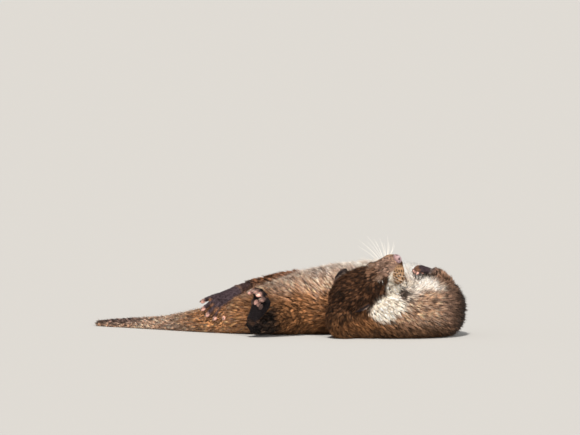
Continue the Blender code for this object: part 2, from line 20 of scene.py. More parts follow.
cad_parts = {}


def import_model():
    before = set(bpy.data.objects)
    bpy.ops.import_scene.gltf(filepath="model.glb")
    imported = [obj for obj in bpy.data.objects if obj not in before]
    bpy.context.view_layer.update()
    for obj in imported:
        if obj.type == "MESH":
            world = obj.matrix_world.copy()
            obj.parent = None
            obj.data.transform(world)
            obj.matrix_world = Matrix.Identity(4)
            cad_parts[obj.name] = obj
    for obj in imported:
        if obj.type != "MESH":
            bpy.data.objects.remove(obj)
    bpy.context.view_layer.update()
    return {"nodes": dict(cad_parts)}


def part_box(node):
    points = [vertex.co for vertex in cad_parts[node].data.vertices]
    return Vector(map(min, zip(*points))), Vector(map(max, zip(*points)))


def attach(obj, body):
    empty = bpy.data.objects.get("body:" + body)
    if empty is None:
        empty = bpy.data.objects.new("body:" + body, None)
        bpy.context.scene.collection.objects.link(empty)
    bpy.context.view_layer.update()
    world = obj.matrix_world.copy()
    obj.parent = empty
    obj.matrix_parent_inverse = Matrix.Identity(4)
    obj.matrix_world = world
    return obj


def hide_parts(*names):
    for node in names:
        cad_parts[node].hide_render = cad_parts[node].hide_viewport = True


LOG = logging.getLogger("otter")
BODY = "root"
COLOUR_MAP = "coat_colour"
BAKE_MAP = "OFBake"
SEED = 20417
BAKE_PATCH = 0.003  # side of a tuft's patch on the bake map
WHISKER_FRONT = -0.198  # the y that no whisker bending to the front may pass
SIDES = (-1, 1)  # left and right of the head
Triple = tuple[float, float, float]


class Slot(Enum):
    """The material slots."""

    COAT = "coat"
    BARE_SKIN = "bare_skin"
    NOSE_SKIN = "nose_skin"
    EYE = "eye"
    WHISKER = "whisker"


# ---------------------------------------------------------------- finishes


class Sheet:
    """A new material, whose nodes are added and joined in few words."""

    def __init__(self, name: str, **values: object) -> None:
        """Starts the material.

        Args:
            name: The material's name.
            values: The shader's inputs, with _ for each space in their names.
        """
        self.material = bpy.data.materials.new(name)
        self.material.use_nodes = True
        self.shader = self.material.node_tree.nodes["Principled BSDF"]
        self.fill(self.shader, values)

    def fill(self, node: bpy.types.Node, values: dict[str, object]) -> None:
        """Sets a node's inputs by name."""
        for name, value in values.items():
            node.inputs[name.replace("_", " ")].default_value = value

    def add(self, kind: str, **values: object) -> bpy.types.Node:
        """Adds a node.

        Args:
            kind: The end of the node's type.
            values: Its inputs, named as for the shader.

        Returns:
            The node.
        """
        node = self.material.node_tree.nodes.new("ShaderNode" + kind)
        self.fill(node, values)
        return node

    def join(self, output: bpy.types.NodeSocket, node: bpy.types.Node, name: str | int) -> None:
        """Joins an output to a node's input."""
        self.material.node_tree.links.new(output, node.inputs[name])


@dataclass(frozen=True)
class Finish:
    """A finish whose colour comes from the mesh's own colour map, with fine mottling and bump."""

    name: str
    roughness: float
    specular: float
    mottle: float
    mottle_scale: float
    bump: float
    bump_scale: float
    sheen: float = 0.0

    def material(self) -> bpy.types.Material:
        """Builds the material.

        Returns:
            The new material.
        """
        sheet = Sheet(self.name, Roughness=self.roughness, Specular_IOR_Level=self.specular,
                      Sheen_Weight=self.sheen, Sheen_Roughness=0.45)
        colour = sheet.add("Attribute")
        colour.attribute_name = COLOUR_MAP
        place = sheet.add("TexCoord").outputs["Object"]
        mottle = sheet.add("TexNoise", Scale=self.mottle_scale, Detail=3.0)
        spread = sheet.add("MapRange", From_Min=0.3, From_Max=0.7, To_Min=1.0 - self.mottle,
                           To_Max=1.0 + self.mottle)
        product = sheet.add("VectorMath")
        product.operation = "MULTIPLY"
        sheet.join(place, mottle, "Vector")
        sheet.join(mottle.outputs["Fac"], spread, "Value")
        sheet.join(colour.outputs["Color"], product, 0)
        sheet.join(spread.outputs["Result"], product, 1)
        sheet.join(product.outputs["Vector"], sheet.shader, "Base Color")
        grain = sheet.add("TexNoise", Scale=self.bump_scale, Detail=4.0)
        bump = sheet.add("Bump", Strength=self.bump, Distance=0.0008)
        sheet.join(place, grain, "Vector")
        sheet.join(grain.outputs["Fac"], bump, "Height")
        sheet.join(bump.outputs["Normal"], sheet.shader, "Normal")
        return sheet.material


SKIN_FINISH = Finish("short_coat_and_skin", roughness=0.62, specular=0.14, mottle=0.25,
                     mottle_scale=900.0, bump=0.8, bump_scale=1500.0, sheen=0.03)
HAIR_FINISH = Finish("guard_hair", roughness=0.50, specular=0.16, mottle=0.12,
                     mottle_scale=420.0, bump=0.0, bump_scale=800.0)
LEATHER_FINISH = Finish("nose_leather", roughness=0.40, specular=0.45, mottle=0.18,
                        mottle_scale=700.0, bump=0.9, bump_scale=1900.0)
PAD_FINISH = Finish("pad_leather", roughness=0.44, specular=0.28, mottle=0.20,
                    mottle_scale=800.0, bump=0.8, bump_scale=1700.0)
HORN_FINISH = Finish("claw_horn", roughness=0.30, specular=0.50, mottle=0.12,
                     mottle_scale=600.0, bump=0.2, bump_scale=1200.0)
WHISKER_FINISH = Finish("whisker_horn", roughness=0.35, specular=0.45, mottle=0.05,
                        mottle_scale=300.0, bump=0.0, bump_scale=500.0)


@dataclass(frozen=True)
class EyeFinish:
    """A wet, very dark brown eye, mottled with a warmer brown."""

    dark: tuple[float, float, float, float] = (0.006, 0.004, 0.003, 1.0)
    warm: tuple[float, float, float, float] = (0.050, 0.024, 0.010, 1.0)

    def material(self) -> bpy.types.Material:
        """Builds the material.

        Returns:
            The new material.
        """
        sheet = Sheet("wet_eye", Roughness=0.06, Coat_Weight=0.8)
        noise = sheet.add("TexNoise", Scale=500.0)
        ramp = sheet.add("ValToRGB")
        ramp.color_ramp.elements[0].color = self.dark
        ramp.color_ramp.elements[1].color = self.warm
        sheet.join(sheet.add("TexCoord").outputs["Object"], noise, "Vector")
        sheet.join(noise.outputs["Fac"], ramp, "Fac")
        sheet.join(ramp.outputs["Color"], sheet.shader, "Base Color")
        return sheet.material


@dataclass(frozen=True)
class StageFinish:
    """The plain pale floor."""

    colour: tuple[float, float, float, float] = (0.45, 0.445, 0.435, 1.0)

    def material(self) -> bpy.types.Material:
        """Builds the material."""
        sheet = Sheet("pale_floor", Base_Color=self.colour, Roughness=1.0, Specular_IOR_Level=0.0)
        return sheet.material


# ---------------------------------------------------------------- small helpers


def unit(vectors: np.ndarray) -> np.ndarray:
    """Rows scaled to length one."""
    return vectors / np.maximum(np.linalg.norm(vectors, axis=-1, keepdims=True), 1e-12)


def ease(value: np.ndarray, low: float, high: float) -> np.ndarray:
    """0 below low, 1 above high, eased between."""
    t = np.clip((value - low) / (high - low), 0.0, 1.0)
    return t * t * (3.0 - 2.0 * t)


def ease_off(value: np.ndarray, low: float, high: float) -> np.ndarray:
    """1 below low, 0 above high, eased between."""
    return 1.0 - ease(value, low, high)


def bell(value: np.ndarray, width: float) -> np.ndarray:
    """1 where the value is 0, dying away over the width on both sides."""
    return np.exp(-(value / width) ** 2)


def distance(points: np.ndarray, place: Vector | Triple) -> np.ndarray:
    """How far each point is from a place."""
    return np.linalg.norm(points - np.array(place), axis=1)


def flatten(ways: np.ndarray, normals: np.ndarray) -> np.ndarray:
    """Ways laid into the planes square to the normals."""
    return ways - normals * np.sum(ways * normals, axis=1, keepdims=True)


def mix(rows: np.ndarray, colour: np.ndarray | Triple, share: np.ndarray) -> np.ndarray:
    """Lays one colour or one row of colours over others, each row by its own share."""
    share = np.clip(share, 0.0, 1.0)[:, None]
    return rows * (1 - share) + np.asarray(colour) * share


def lightness(rows: np.ndarray, low: float, high: float) -> np.ndarray:
    """How light colours are, from 0 at low to 1 at high."""
    return ease(rows.mean(axis=1), low, high)


def total(parts: dict[str, np.ndarray], *names: str) -> np.ndarray:
    """How much of several nodes together is near each point."""
    return sum(parts[name] for name in names)


def make_active(obj: bpy.types.Object | None) -> None:
    """Leaves object mode with this object alone selected, or with nothing selected.

    Args:
        obj: The object, or None.
    """
    if bpy.context.object and bpy.context.object.mode != "OBJECT":
        bpy.ops.object.mode_set(mode="OBJECT")
    bpy.ops.object.select_all(action="DESELECT")
    if obj:
        obj.select_set(True)
        bpy.context.view_layer.objects.active = obj


def new_object(name: str, mesh: bpy.types.Mesh) -> bpy.types.Object:
    """Puts a mesh in the scene.

    Args:
        name: The object's name.
        mesh: Its mesh.

    Returns:
        The object.
    """
    obj = bpy.data.objects.new(name, mesh)
    bpy.context.scene.collection.objects.link(obj)
    return obj


def mesh_from(name: str, points: np.ndarray, triangles: np.ndarray) -> bpy.types.Mesh:
    """A mesh of triangles, made quickly.

    Args:
        name: The mesh's name.
        points: Rows of x, y and z.
        triangles: Rows of three point numbers.

    Returns:
        The mesh.
    """
    mesh = bpy.data.meshes.new(name)
    mesh.vertices.add(len(points))
    mesh.vertices.foreach_set("co", np.ascontiguousarray(points, np.float32).ravel())
    mesh.loops.add(triangles.size)
    mesh.loops.foreach_set("vertex_index", np.ascontiguousarray(triangles, np.int32).ravel())
    mesh.polygons.add(len(triangles))
    mesh.polygons.foreach_set("loop_start", np.arange(0, triangles.size, 3, dtype=np.int32))
    mesh.update(calc_edges=True)
    return mesh


def paint(mesh: bpy.types.Mesh, colours: np.ndarray) -> None:
    """Stores a colour for each point.

    Args:
        mesh: The mesh.
        colours: Rows of red, green and blue.
    """
    layer = mesh.color_attributes.new(COLOUR_MAP, "FLOAT_COLOR", "POINT")
    rows = np.ones((len(colours), 4), np.float32)
    rows[:, :3] = colours
    layer.data.foreach_set("color", rows.ravel())


def points_of(mesh: bpy.types.Mesh) -> np.ndarray:
    """The mesh's points.

    Args:
        mesh: The mesh.

    Returns:
        Rows of x, y and z.
    """
    points = np.empty(len(mesh.vertices) * 3, np.float32)
    mesh.vertices.foreach_get("co", points)
    return points.reshape(-1, 3).astype(float)


def shade_smooth(mesh: bpy.types.Mesh) -> None:
    """Gives all the mesh's faces smooth shading."""
    mesh.polygons.foreach_set("use_smooth", np.ones(len(mesh.polygons), bool))


def triangle_count(mesh: bpy.types.Mesh) -> int:
    """How many triangles the mesh's faces make."""
    return sum(len(polygon.vertices) - 2 for polygon in mesh.polygons)


def settle(obj: bpy.types.Object, slot: Slot, *nodes: str) -> None:
    """Says what a finished piece rides on and hides the nodes it stands for.

    Args:
        obj: The piece.
        slot: The material slot; not used.
        nodes: The nodes that it replaces.
    """
    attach(obj, BODY)
    if nodes:
        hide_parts(*nodes)
    LOG.info("%s: %d triangles", obj.name, triangle_count(obj.data))


# ---------------------------------------------------------------- the head's frame


EYES = {-1: "eye_left", 1: "eye_right"}


def middle_of(node: str) -> Vector:
    """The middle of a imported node's box."""
    low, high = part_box(node)
    return (low + high) / 2


@dataclass
class Head:
    """The head's own frame: ahead of the ears, aside to its right, and rise to the crown."""

    forward: Vector = field(default_factory=lambda: Vector((0.785, -0.14, 0.600)).normalized())
    crown_way: Vector = field(default_factory=lambda: Vector((-0.38, -0.88, 0.29)))
    eye_ahead: float = 0.064
    eye_rise: float = 0.0110

    def __post_init__(self) -> None:
        """Finds the frame from the eyes' boxes."""
        crown = self.crown_way - self.forward * self.forward.dot(self.crown_way)
        self.crown = crown.normalized()
        self.right = self.forward.cross(self.crown)
        self.eyes = {side: middle_of(name) for side, name in EYES.items()}
        between = (self.eyes[-1] + self.eyes[1]) / 2
        self.place = between - self.forward * self.eye_ahead - self.crown * self.eye_rise

    def point(self, ahead: float, aside: float, rise: float) -> Vector:
        """The model's point at distances ahead of the ears, to the right and to the crown."""
        return self.place + self.forward * ahead + self.right * aside + self.crown * rise

    def way(self, ahead: float, aside: float, rise: float) -> Vector:
        """The model's unit direction with shares forwards, to the right and to the crown."""
        return (self.forward * ahead + self.right * aside + self.crown * rise).normalized()

    def axes(self) -> np.ndarray:
        """The head's forward, right and crown, as rows."""
        return np.array([self.forward, self.right, self.crown])

    def local(self, points: np.ndarray) -> np.ndarray:
        """Points in the head's frame, as rows of ahead, aside and rise."""
        return (points - np.array(self.place)) @ self.axes().T


# ---------------------------------------------------------------- the face


# Height, place across the slit and width of the creases above and below the lids and of the brow.
LID_FOLDS = ((-0.0007, 0.0048, 0.0008), (-0.0006, -0.0042, 0.0008), (0.0010, 0.0085, 0.0030))


@dataclass
class Face:
    """Lids, mouth and whisker pads, as folds of the skin in the head's frame."""

    head: Head
    lid_way: Triple = (0.12, 0.80, 0.55)
    slit_half: float = 0.0070
    slit_deep: float = 0.0024
    mouth_deep: float = 0.0013
    dot_gap: float = 0.0053
    row_gap: float = 0.87
    pad_place: Triple = (0.0980, 0.0290, -0.0030)
    pad_size: tuple[float, float] = (0.0135, 0.0205)
    pad_across: Triple = (0.787, 0.488, -0.379)
    pad_down: Triple = (-0.600, 0.745, -0.290)
    lip_ahead: tuple[float, ...] = (0.050, 0.075, 0.098, 0.114)
    lip_rise: tuple[float, ...] = (-0.0165, -0.0190, -0.0165, -0.0110)
    snout_radius: float = 0.0235

    def round_eye(self, local: np.ndarray, side: int) -> tuple[np.ndarray, np.ndarray, np.ndarray]:
        """Where points are round a closed eye.

        Args:
            local: Points in the head's frame.
            side: -1 on the left, 1 on the right.

        Returns:
            Distance along the slit, distance across it towards the crown, and 1 on its outside.
        """
        forth, aside, rise = self.lid_way
        out = np.array((forth, side * aside, rise))
        out /= np.linalg.norm(out)
        along = np.array((1.0, 0.0, 0.0)) - out * out[0]
        along /= np.linalg.norm(along)
        across = np.cross(out, along) * -side
        offset = local - self.head.local(np.array([self.head.eyes[side]]))[0]
        outside = ease(offset @ out, -0.001, 0.003)
        reach = offset @ along
        bow = -0.0012 + 0.0017 * (reach / self.slit_half) ** 2
        return reach, offset @ across - bow, outside

    def slit(self, local: np.ndarray) -> np.ndarray:
        """How much of each point is in the dark line between closed lids.

        Args:
            local: Points in the head's frame.

        Returns:
            0 to 1 for each point.
        """
        share = np.zeros(len(local))
        for side in SIDES:
            reach, across, outside = self.round_eye(local, side)
            ends = ease_off(np.abs(reach) / self.slit_half, 0.75, 1.05)
            share = np.maximum(share, bell(across, 0.0010) * ends * outside)
        return share

    def mouth(self, local: np.ndarray) -> np.ndarray:
        """How far points are above the line of the closed lips.

        Args:
            local: Points in the head's frame.

        Returns:
            The distance, large where there is no mouth.
        """
        line = np.interp(local[:, 0], self.lip_ahead, self.lip_rise)
        return local[:, 2] - line + 0.02 * ease_off(local[:, 0], 0.056, 0.062)

    def dots(self, local: np.ndarray) -> np.ndarray:
        """The dark spots that the whiskers grow from, in rows over the pads.

        Args:
            local: Points in the head's frame.

        Returns:
            0 to 1 for each point.
        """
        angle = np.arctan2(np.abs(local[:, 1]), local[:, 2] + 0.003)
        arc = angle * self.snout_radius
        high = self.dot_gap * self.row_gap
        row = np.round(arc / high)
        shift = np.where(row % 2 == 0, 0.0, 0.5)
        column = np.round(local[:, 0] / self.dot_gap - shift)
        stray = 0.0006 * np.sin(row * 12.9 + column * 4.1)
        away = np.hypot(arc - row * high + stray,
                        local[:, 0] - (column + shift) * self.dot_gap - stray)
        return ease_off(away, 0.0012, 0.0020) * ease_off(self.pad(local), 0.85, 1.0)

    def pad(self, local: np.ndarray) -> np.ndarray:
        """How far points are from the middle of the nearest whisker pad, which ends at the lips.

        Args:
            local: Points in the head's frame.

        Returns:
            The distance for each point, 1 at the pad's edge.
        """
        offset = np.column_stack([local[:, 0], np.abs(local[:, 1]), local[:, 2]]) - self.pad_place
        across = offset @ np.array(self.pad_across) / self.pad_size[0]
        down = offset @ np.array(self.pad_down) / self.pad_size[1]
        return np.hypot(across, down) + 2.0 * ease_off(self.mouth(local), -0.0006, 0.0006)

    def relief(self, local: np.ndarray) -> np.ndarray:
        """How far the skin stands out of its plain form.

        Args:
            local: Points in the head's frame.

        Returns:
            A distance for each point, negative in folds.
        """
        rows = -self.slit_deep * self.slit(local)
        for side in SIDES:
            reach, across, outside = self.round_eye(local, side)
            fade = np.clip(1.0 - (reach / 0.0085) ** 2, 0.0, 1.0) * outside
            rows += 0.0006 * bell(np.abs(across) - 0.0018, 0.0009) * fade
            for height, place, width in LID_FOLDS:
                rows += height * bell(across - place, width) * fade
            pad = (local - np.array((0.094, side * 0.021, -0.007))) / np.array((0.013, 0.012, 0.010))
            rows += 0.0009 * np.exp(-np.sum(pad ** 2, axis=1))
        front = ease(local[:, 0], 0.050, 0.062)
        lips = self.mouth(local)
        rows -= self.mouth_deep * bell(lips, 0.0009) * front
        rows += 0.0006 * bell(lips - 0.0024, 0.0013) * front
        snout = ease(local[:, 0], 0.104, 0.110) * (lips > 0) * (local[:, 2] < 0.001)
        rows -= 0.0007 * bell(local[:, 1], 0.0007) * snout
        return rows - 0.00025 * self.dots(local)


# ---------------------------------------------------------------- feet


# How far the solids were moved, from where they were drawn, to stand over the origin.
SHIFT = Vector((-0.0014, -0.0823, 0.0))
# Each bone's share of a toe's length and of its curl, from the knuckle on.
BONES = ((0.36, 0.15), (0.32, 0.40), (0.32, 0.45))


@dataclass
class Foot:
    """One foot: its heel, directions, sizes, how light it is in painted light and shade, and how pink
    its toes and lobes are.

    ahead points to the toes, back to the foot's upper side, and medial says on which hand its inner
    side is. half is half its width. splay and curl are given in degrees.
    """

    name: str
    heel: Vector
    ahead: Vector
    back: Vector
    medial: int
    sole: float
    toe: float
    half: float
    splay: float
    curl: float
    # Painted light and shade: below 1 on the near hind foot, which lies in shade, above 1 on the lit
    # feet.
    tone: float
    pinks: tuple[float, ...]
    shares: tuple[float, ...] = (0.74, 0.93, 1.0, 0.98, 0.84)

    def __post_init__(self) -> None:
        """Puts the foot in its place, squares up its axes and turns its angles to radians."""
        self.heel = self.heel + SHIFT
        self.ahead = self.ahead.normalized()
        self.back = (self.back - self.ahead * self.ahead.dot(self.back)).normalized()
        self.inner = self.ahead.cross(self.back) * self.medial
        self.splay = math.radians(self.splay)
        self.curl = math.radians(self.curl)

    def at(self, along: float, aside: float, rise: float) -> Vector:
        """The model's point at distances to the toes, to the inner side and to the foot's back."""
        return self.heel + self.ahead * along + self.inner * aside + self.back * rise

    def toes(self) -> list[tuple[list[Vector], Vector, Vector]]:
        """The joints of each toe, from the knuckle to the tip.

        Returns:
            Five sets of four points, the way the tip points and the way its pad faces.
        """
        made = []
        for i, share in enumerate(self.shares):
            spread = 1 - i / 2
            angle = self.splay / 2 * spread
            way = self.ahead * math.cos(angle) + self.inner * math.sin(angle)
            along = self.sole * (0.93 - 0.07 * spread ** 2)
            point = self.at(along, self.half * 0.78 * spread, 0.0)
            path = [point]
            bend = 0.0
            for bone, part in BONES:
                bend += self.curl * part
                step = way * math.cos(bend) - self.back * math.sin(bend)
                point = point + step * self.toe * share * bone
                path.append(point)
            sole = -(way * math.sin(bend) + self.back * math.cos(bend))
            made.append((path, step, sole))
        return made

    def pads(self) -> list[tuple[Vector, Vector, Vector, Triple]]:
        """The bare pads: one under each toe's tip and four lobes under the ball of the foot.

        Returns:
            The middle, the way ahead, the way it faces and the three radii of each.
        """
        made = []
        half = self.half
        for path, way, sole in self.toes():
            middle = path[3] - way * half * 0.05 + sole * half * 0.06
            made.append((middle, way, sole, (half * 0.25, half * 0.185, half * 0.16)))
        sole = -self.back
        for spread in (0.57, 0.20, -0.20, -0.57):
            along = self.sole * (0.84 - 0.14 * spread ** 2)
            middle = self.at(along, half * spread, 0.0) + sole * half * 0.34
            made.append((middle, self.ahead, sole, (half * 0.25, half * 0.215, half * 0.13)))
        return made


def build_feet() -> dict[str, Foot]:
    """The four feet in the model's frame, by their nodes' names."""
    paw_pinks = (1.0, 0.6, 1.0, 0.6, 1.1, 0.5, 0.8, 0.4, 0.3)
    feet = (
        Foot("hind_left_foot", Vector((-0.055, -0.034, 0.0210)), ahead=Vector((0.43, -0.06, 0.90)),
             back=Vector((0.76, 0.62, -0.32)), medial=1, sole=0.059, toe=0.039, half=0.0250,
             splay=38, curl=112, tone=0.28, pinks=(1.2, 0.35, 0.45, 1.3, 0.35, 0.10, 1.5, 0.60, 0.10)),
        Foot("hind_right_foot", Vector((-0.070, 0.103, 0.0900)), ahead=Vector((-0.78, -0.34, -0.52)),
             back=Vector((-0.30, -0.74, 0.60)), medial=-1, sole=0.055, toe=0.043, half=0.0235,
             splay=56, curl=16, tone=1.8, pinks=(1.0, 1.0, 0.9, 1.1, 1.1, 0.3, 0.9, 0.4, 0.3)),
        Foot("fore_right_paw", Vector((0.306, 0.026, 0.1265)), ahead=Vector((-0.96, -0.10, 0.26)),
             back=Vector((0.20, -0.30, 0.93)), medial=-1, sole=0.024, toe=0.017, half=0.0150,
             splay=40, curl=60, tone=1.4, pinks=paw_pinks),
        Foot("fore_left_paw", Vector((0.205, 0.025, 0.1325)), ahead=Vector((-0.84, 0.50, 0.20)),
             back=Vector((0.10, -0.30, 0.95)), medial=1, sole=0.024, toe=0.018, half=0.0150,
             splay=40, curl=50, tone=1.4, pinks=paw_pinks),
    )
    return {foot.name: foot for foot in feet}


# ---------------------------------------------------------------- how the coat grows


@dataclass(frozen=True)
class Fur:
    """How the coat grows on one node.

    lie is the way the hair points, depth how far the skin lies inside the tips, lift the angle
    at which the tufts stand off in degrees, crowd how closely they stand.
    """

    lie: Triple
    depth: float
    length: float
    width: float
    lift: float
    crowd: float = 1.0


TAIL_WAY = (-0.85, 0.52, 0.06)
FURS = {
    "tail_tip": Fur(TAIL_WAY, 0.0022, 0.0115, 0.0011, 16, 1.2),
    "tail_middle": Fur(TAIL_WAY, 0.0038, 0.0150, 0.0013, 18, 1.0),
    "tail_base": Fur((-0.93, 0.34, -0.05), 0.0052, 0.0170, 0.0014, 20),
    "rump": Fur((-1.0, 0.12, 0.05), 0.0066, 0.0195, 0.0013, 23),
    "belly": Fur((-1.0, 0.0, 0.22), 0.0070, 0.0195, 0.0013, 25),
    "chest": Fur((-1.0, 0.0, 0.22), 0.0070, 0.0190, 0.0013, 25),
    "shoulders": Fur((-0.2, 1.0, -0.05), 0.0066, 0.0175, 0.0013, 22),
    "neck_base": Fur((0.85, 0.40, -0.25), 0.0068, 0.0185, 0.0013, 26),
    "neck": Fur((1.0, 0.0, -0.30), 0.0062, 0.0170, 0.0012, 25),
    "head": Fur((-0.785, 0.14, -0.600), 0.0040, 0.0110, 0.0012, 24, 1.4),
    "muzzle": Fur((-0.785, 0.14, -0.600), 0.0012, 0.0040, 0.0008, 18, 2.2),
    "jaw": Fur((-0.785, 0.14, -0.600), 0.0018, 0.0058, 0.0009, 18, 2.0),
    "ear_left": Fur((-0.60, -0.35, 0.72), 0.0005, 0.0030, 0.0006, 10, 2.0),
    "ear_right": Fur((0.20, -0.65, -0.73), 0.0005, 0.0030, 0.0006, 10, 2.0),
    "hind_left_leg": Fur((-0.75, -0.45, -0.20), 0.0044, 0.0130, 0.0012, 20),
    "hind_left_foot": Fur((0.43, -0.06, 0.90), 0.0006, 0.0034, 0.0007, 13, 1.5),
    "hind_right_thigh": Fur((-0.95, 0.20, 0.35), 0.0052, 0.0150, 0.0013, 22),
    "hind_right_shank": Fur((-0.95, 0.05, 0.02), 0.0036, 0.0110, 0.0011, 18, 1.2),
    "hind_right_foot": Fur((-0.78, -0.34, -0.52), 0.0006, 0.0036, 0.0007, 13, 1.5),
    "fore_right_leg": Fur((-0.45, 0.0, 0.80), 0.0034, 0.0105, 0.0010, 20, 1.3),
    "fore_right_paw": Fur((-0.96, -0.10, 0.26), 0.0006, 0.0028, 0.0006, 11, 1.5),
    "fore_left_leg": Fur((-0.70, 0.20, 0.65), 0.0034, 0.0105, 0.0010, 19, 1.3),
    "fore_left_paw": Fur((-0.84, 0.50, 0.20), 0.0006, 0.0028, 0.0006, 11, 1.5),
}
FLESH = tuple(FURS)
EARS = ("ear_left", "ear_right")
PAWS = ("hind_left_foot", "hind_right_foot", "fore_right_paw", "fore_left_paw")
LEG_OF_FOOT = {"hind_left_foot": "hind_left_leg", "hind_right_foot": "hind_right_shank",
               "fore_right_paw": "fore_right_leg", "fore_left_paw": "fore_left_leg"}
FINE_NODES = PAWS + EARS + ("muzzle", "jaw")


@dataclass(frozen=True)
class Tint:
    """A soft patch of colour: an ellipsoid with a feathered edge."""

    colour: Triple
    place: Triple
    radii: Triple
    strength: float = 1.0
    edge: float = 0.45


CREAM = (0.900, 0.780, 0.650)
# Patches in the model's frame, in the order they are laid on.
BODY_TINTS = (
    Tint((0.780, 0.460, 0.310), (-0.200, 0.10, 0.020), (0.22, 0.14, 0.060), 0.90),
    Tint((0.480, 0.210, 0.080), (-0.110, 0.00, 0.025), (0.10, 0.08, 0.036), 0.90),
    # The tail tip's dark wet fur, with a bluish cast of painted shade under a clear sky.
    Tint((0.100, 0.075, 0.080), (-0.335, 0.16, 0.017), (0.085, 0.10, 0.010), 0.85),
    Tint((0.520, 0.305, 0.190), (0.285, -0.13, 0.060), (0.085, 0.090, 0.050), 0.95),
    # The neck's right side, darker partly as painted shade.
    Tint((0.270, 0.160, 0.115), (0.338, -0.10, 0.065), (0.036, 0.090, 0.055), 0.80),
    # Painted shade: the neck's right edge, turned from the light, near-black.
    Tint((0.018, 0.009, 0.006), (0.386, -0.06, 0.045), (0.060, 0.120, 0.085), 0.97),
    # The neck's low side, its dark fur darkened further as painted shade.
    Tint((0.062, 0.028, 0.012), (0.270, -0.14, -0.008), (0.160, 0.090, 0.040), 0.94),
    Tint((0.900, 0.810, 0.730), (0.268, -0.060, 0.122), (0.044, 0.110, 0.033), 1.00, 0.35),
    Tint((0.900, 0.800, 0.710), (0.290, -0.120, 0.096), (0.030, 0.035, 0.010), 0.70),
    Tint((0.900, 0.800, 0.710), (0.256, -0.135, 0.094), (0.018, 0.045, 0.015), 0.95),
    Tint((0.235, 0.130, 0.080), (0.322, -0.085, 0.112), (0.022, 0.060, 0.022), 0.85),
)
# The cream cheek and throat, with a grey patch of painted shade on the chin, in the model's frame, laid
# over the head.
CHEEK_TINTS = (
    Tint(CREAM, (0.226, -0.165, 0.119), (0.008, 0.050, 0.017), 1.00, 0.25),
    Tint(CREAM, (0.227, -0.165, 0.097), (0.018, 0.050, 0.019), 1.00, 0.25),
    Tint(CREAM, (0.219, -0.165, 0.073), (0.029, 0.050, 0.021), 1.00, 0.25),
    Tint(CREAM, (0.203, -0.165, 0.057), (0.022, 0.050, 0.018), 1.00, 0.35),
    # Painted shade: the chin greyed where it lies in shade.
    Tint((0.120, 0.088, 0.074), (0.242, -0.160, 0.089), (0.010, 0.030, 0.011), 0.95, 0.3),
    Tint((0.860, 0.750, 0.620), (0.215, -0.085, 0.080), (0.060, 0.040, 0.050), 0.90),
)
# Patches in the head's frame of ahead, aside and rise: throat, crown, muzzle, rings and brows.
HEAD_TINTS = (
    Tint((0.860, 0.750, 0.620), (0.040, 0.000, -0.040), (0.075, 0.050, 0.022), 0.95),
    Tint((0.820, 0.680, 0.540), (0.052, -0.036, -0.014), (0.030, 0.018, 0.016), 0.85),
    Tint((0.036, 0.014, 0.006), (0.042, 0.014, 0.035), (0.018, 0.022, 0.020), 0.85),
    Tint((0.200, 0.108, 0.066), (0.072, 0.000, 0.024), (0.022, 0.026, 0.014), 0.80),
    Tint((0.390, 0.245, 0.180), (0.094, 0.000, 0.012), (0.022, 0.026, 0.013), 0.90),
    *(Tint((0.040, 0.020, 0.012), (0.064, -side * 0.023, 0.008), (0.013, 0.008, 0.007), 0.80)
      for side in SIDES),
    *(Tint((0.420, 0.270, 0.190), (0.068, -side * 0.016, 0.020), (0.012, 0.005, 0.006), 0.80)
      for side in SIDES),
    Tint((0.120, 0.060, 0.038), (0.088, 0.000, 0.018), (0.020, 0.003, 0.008), 0.60),
)


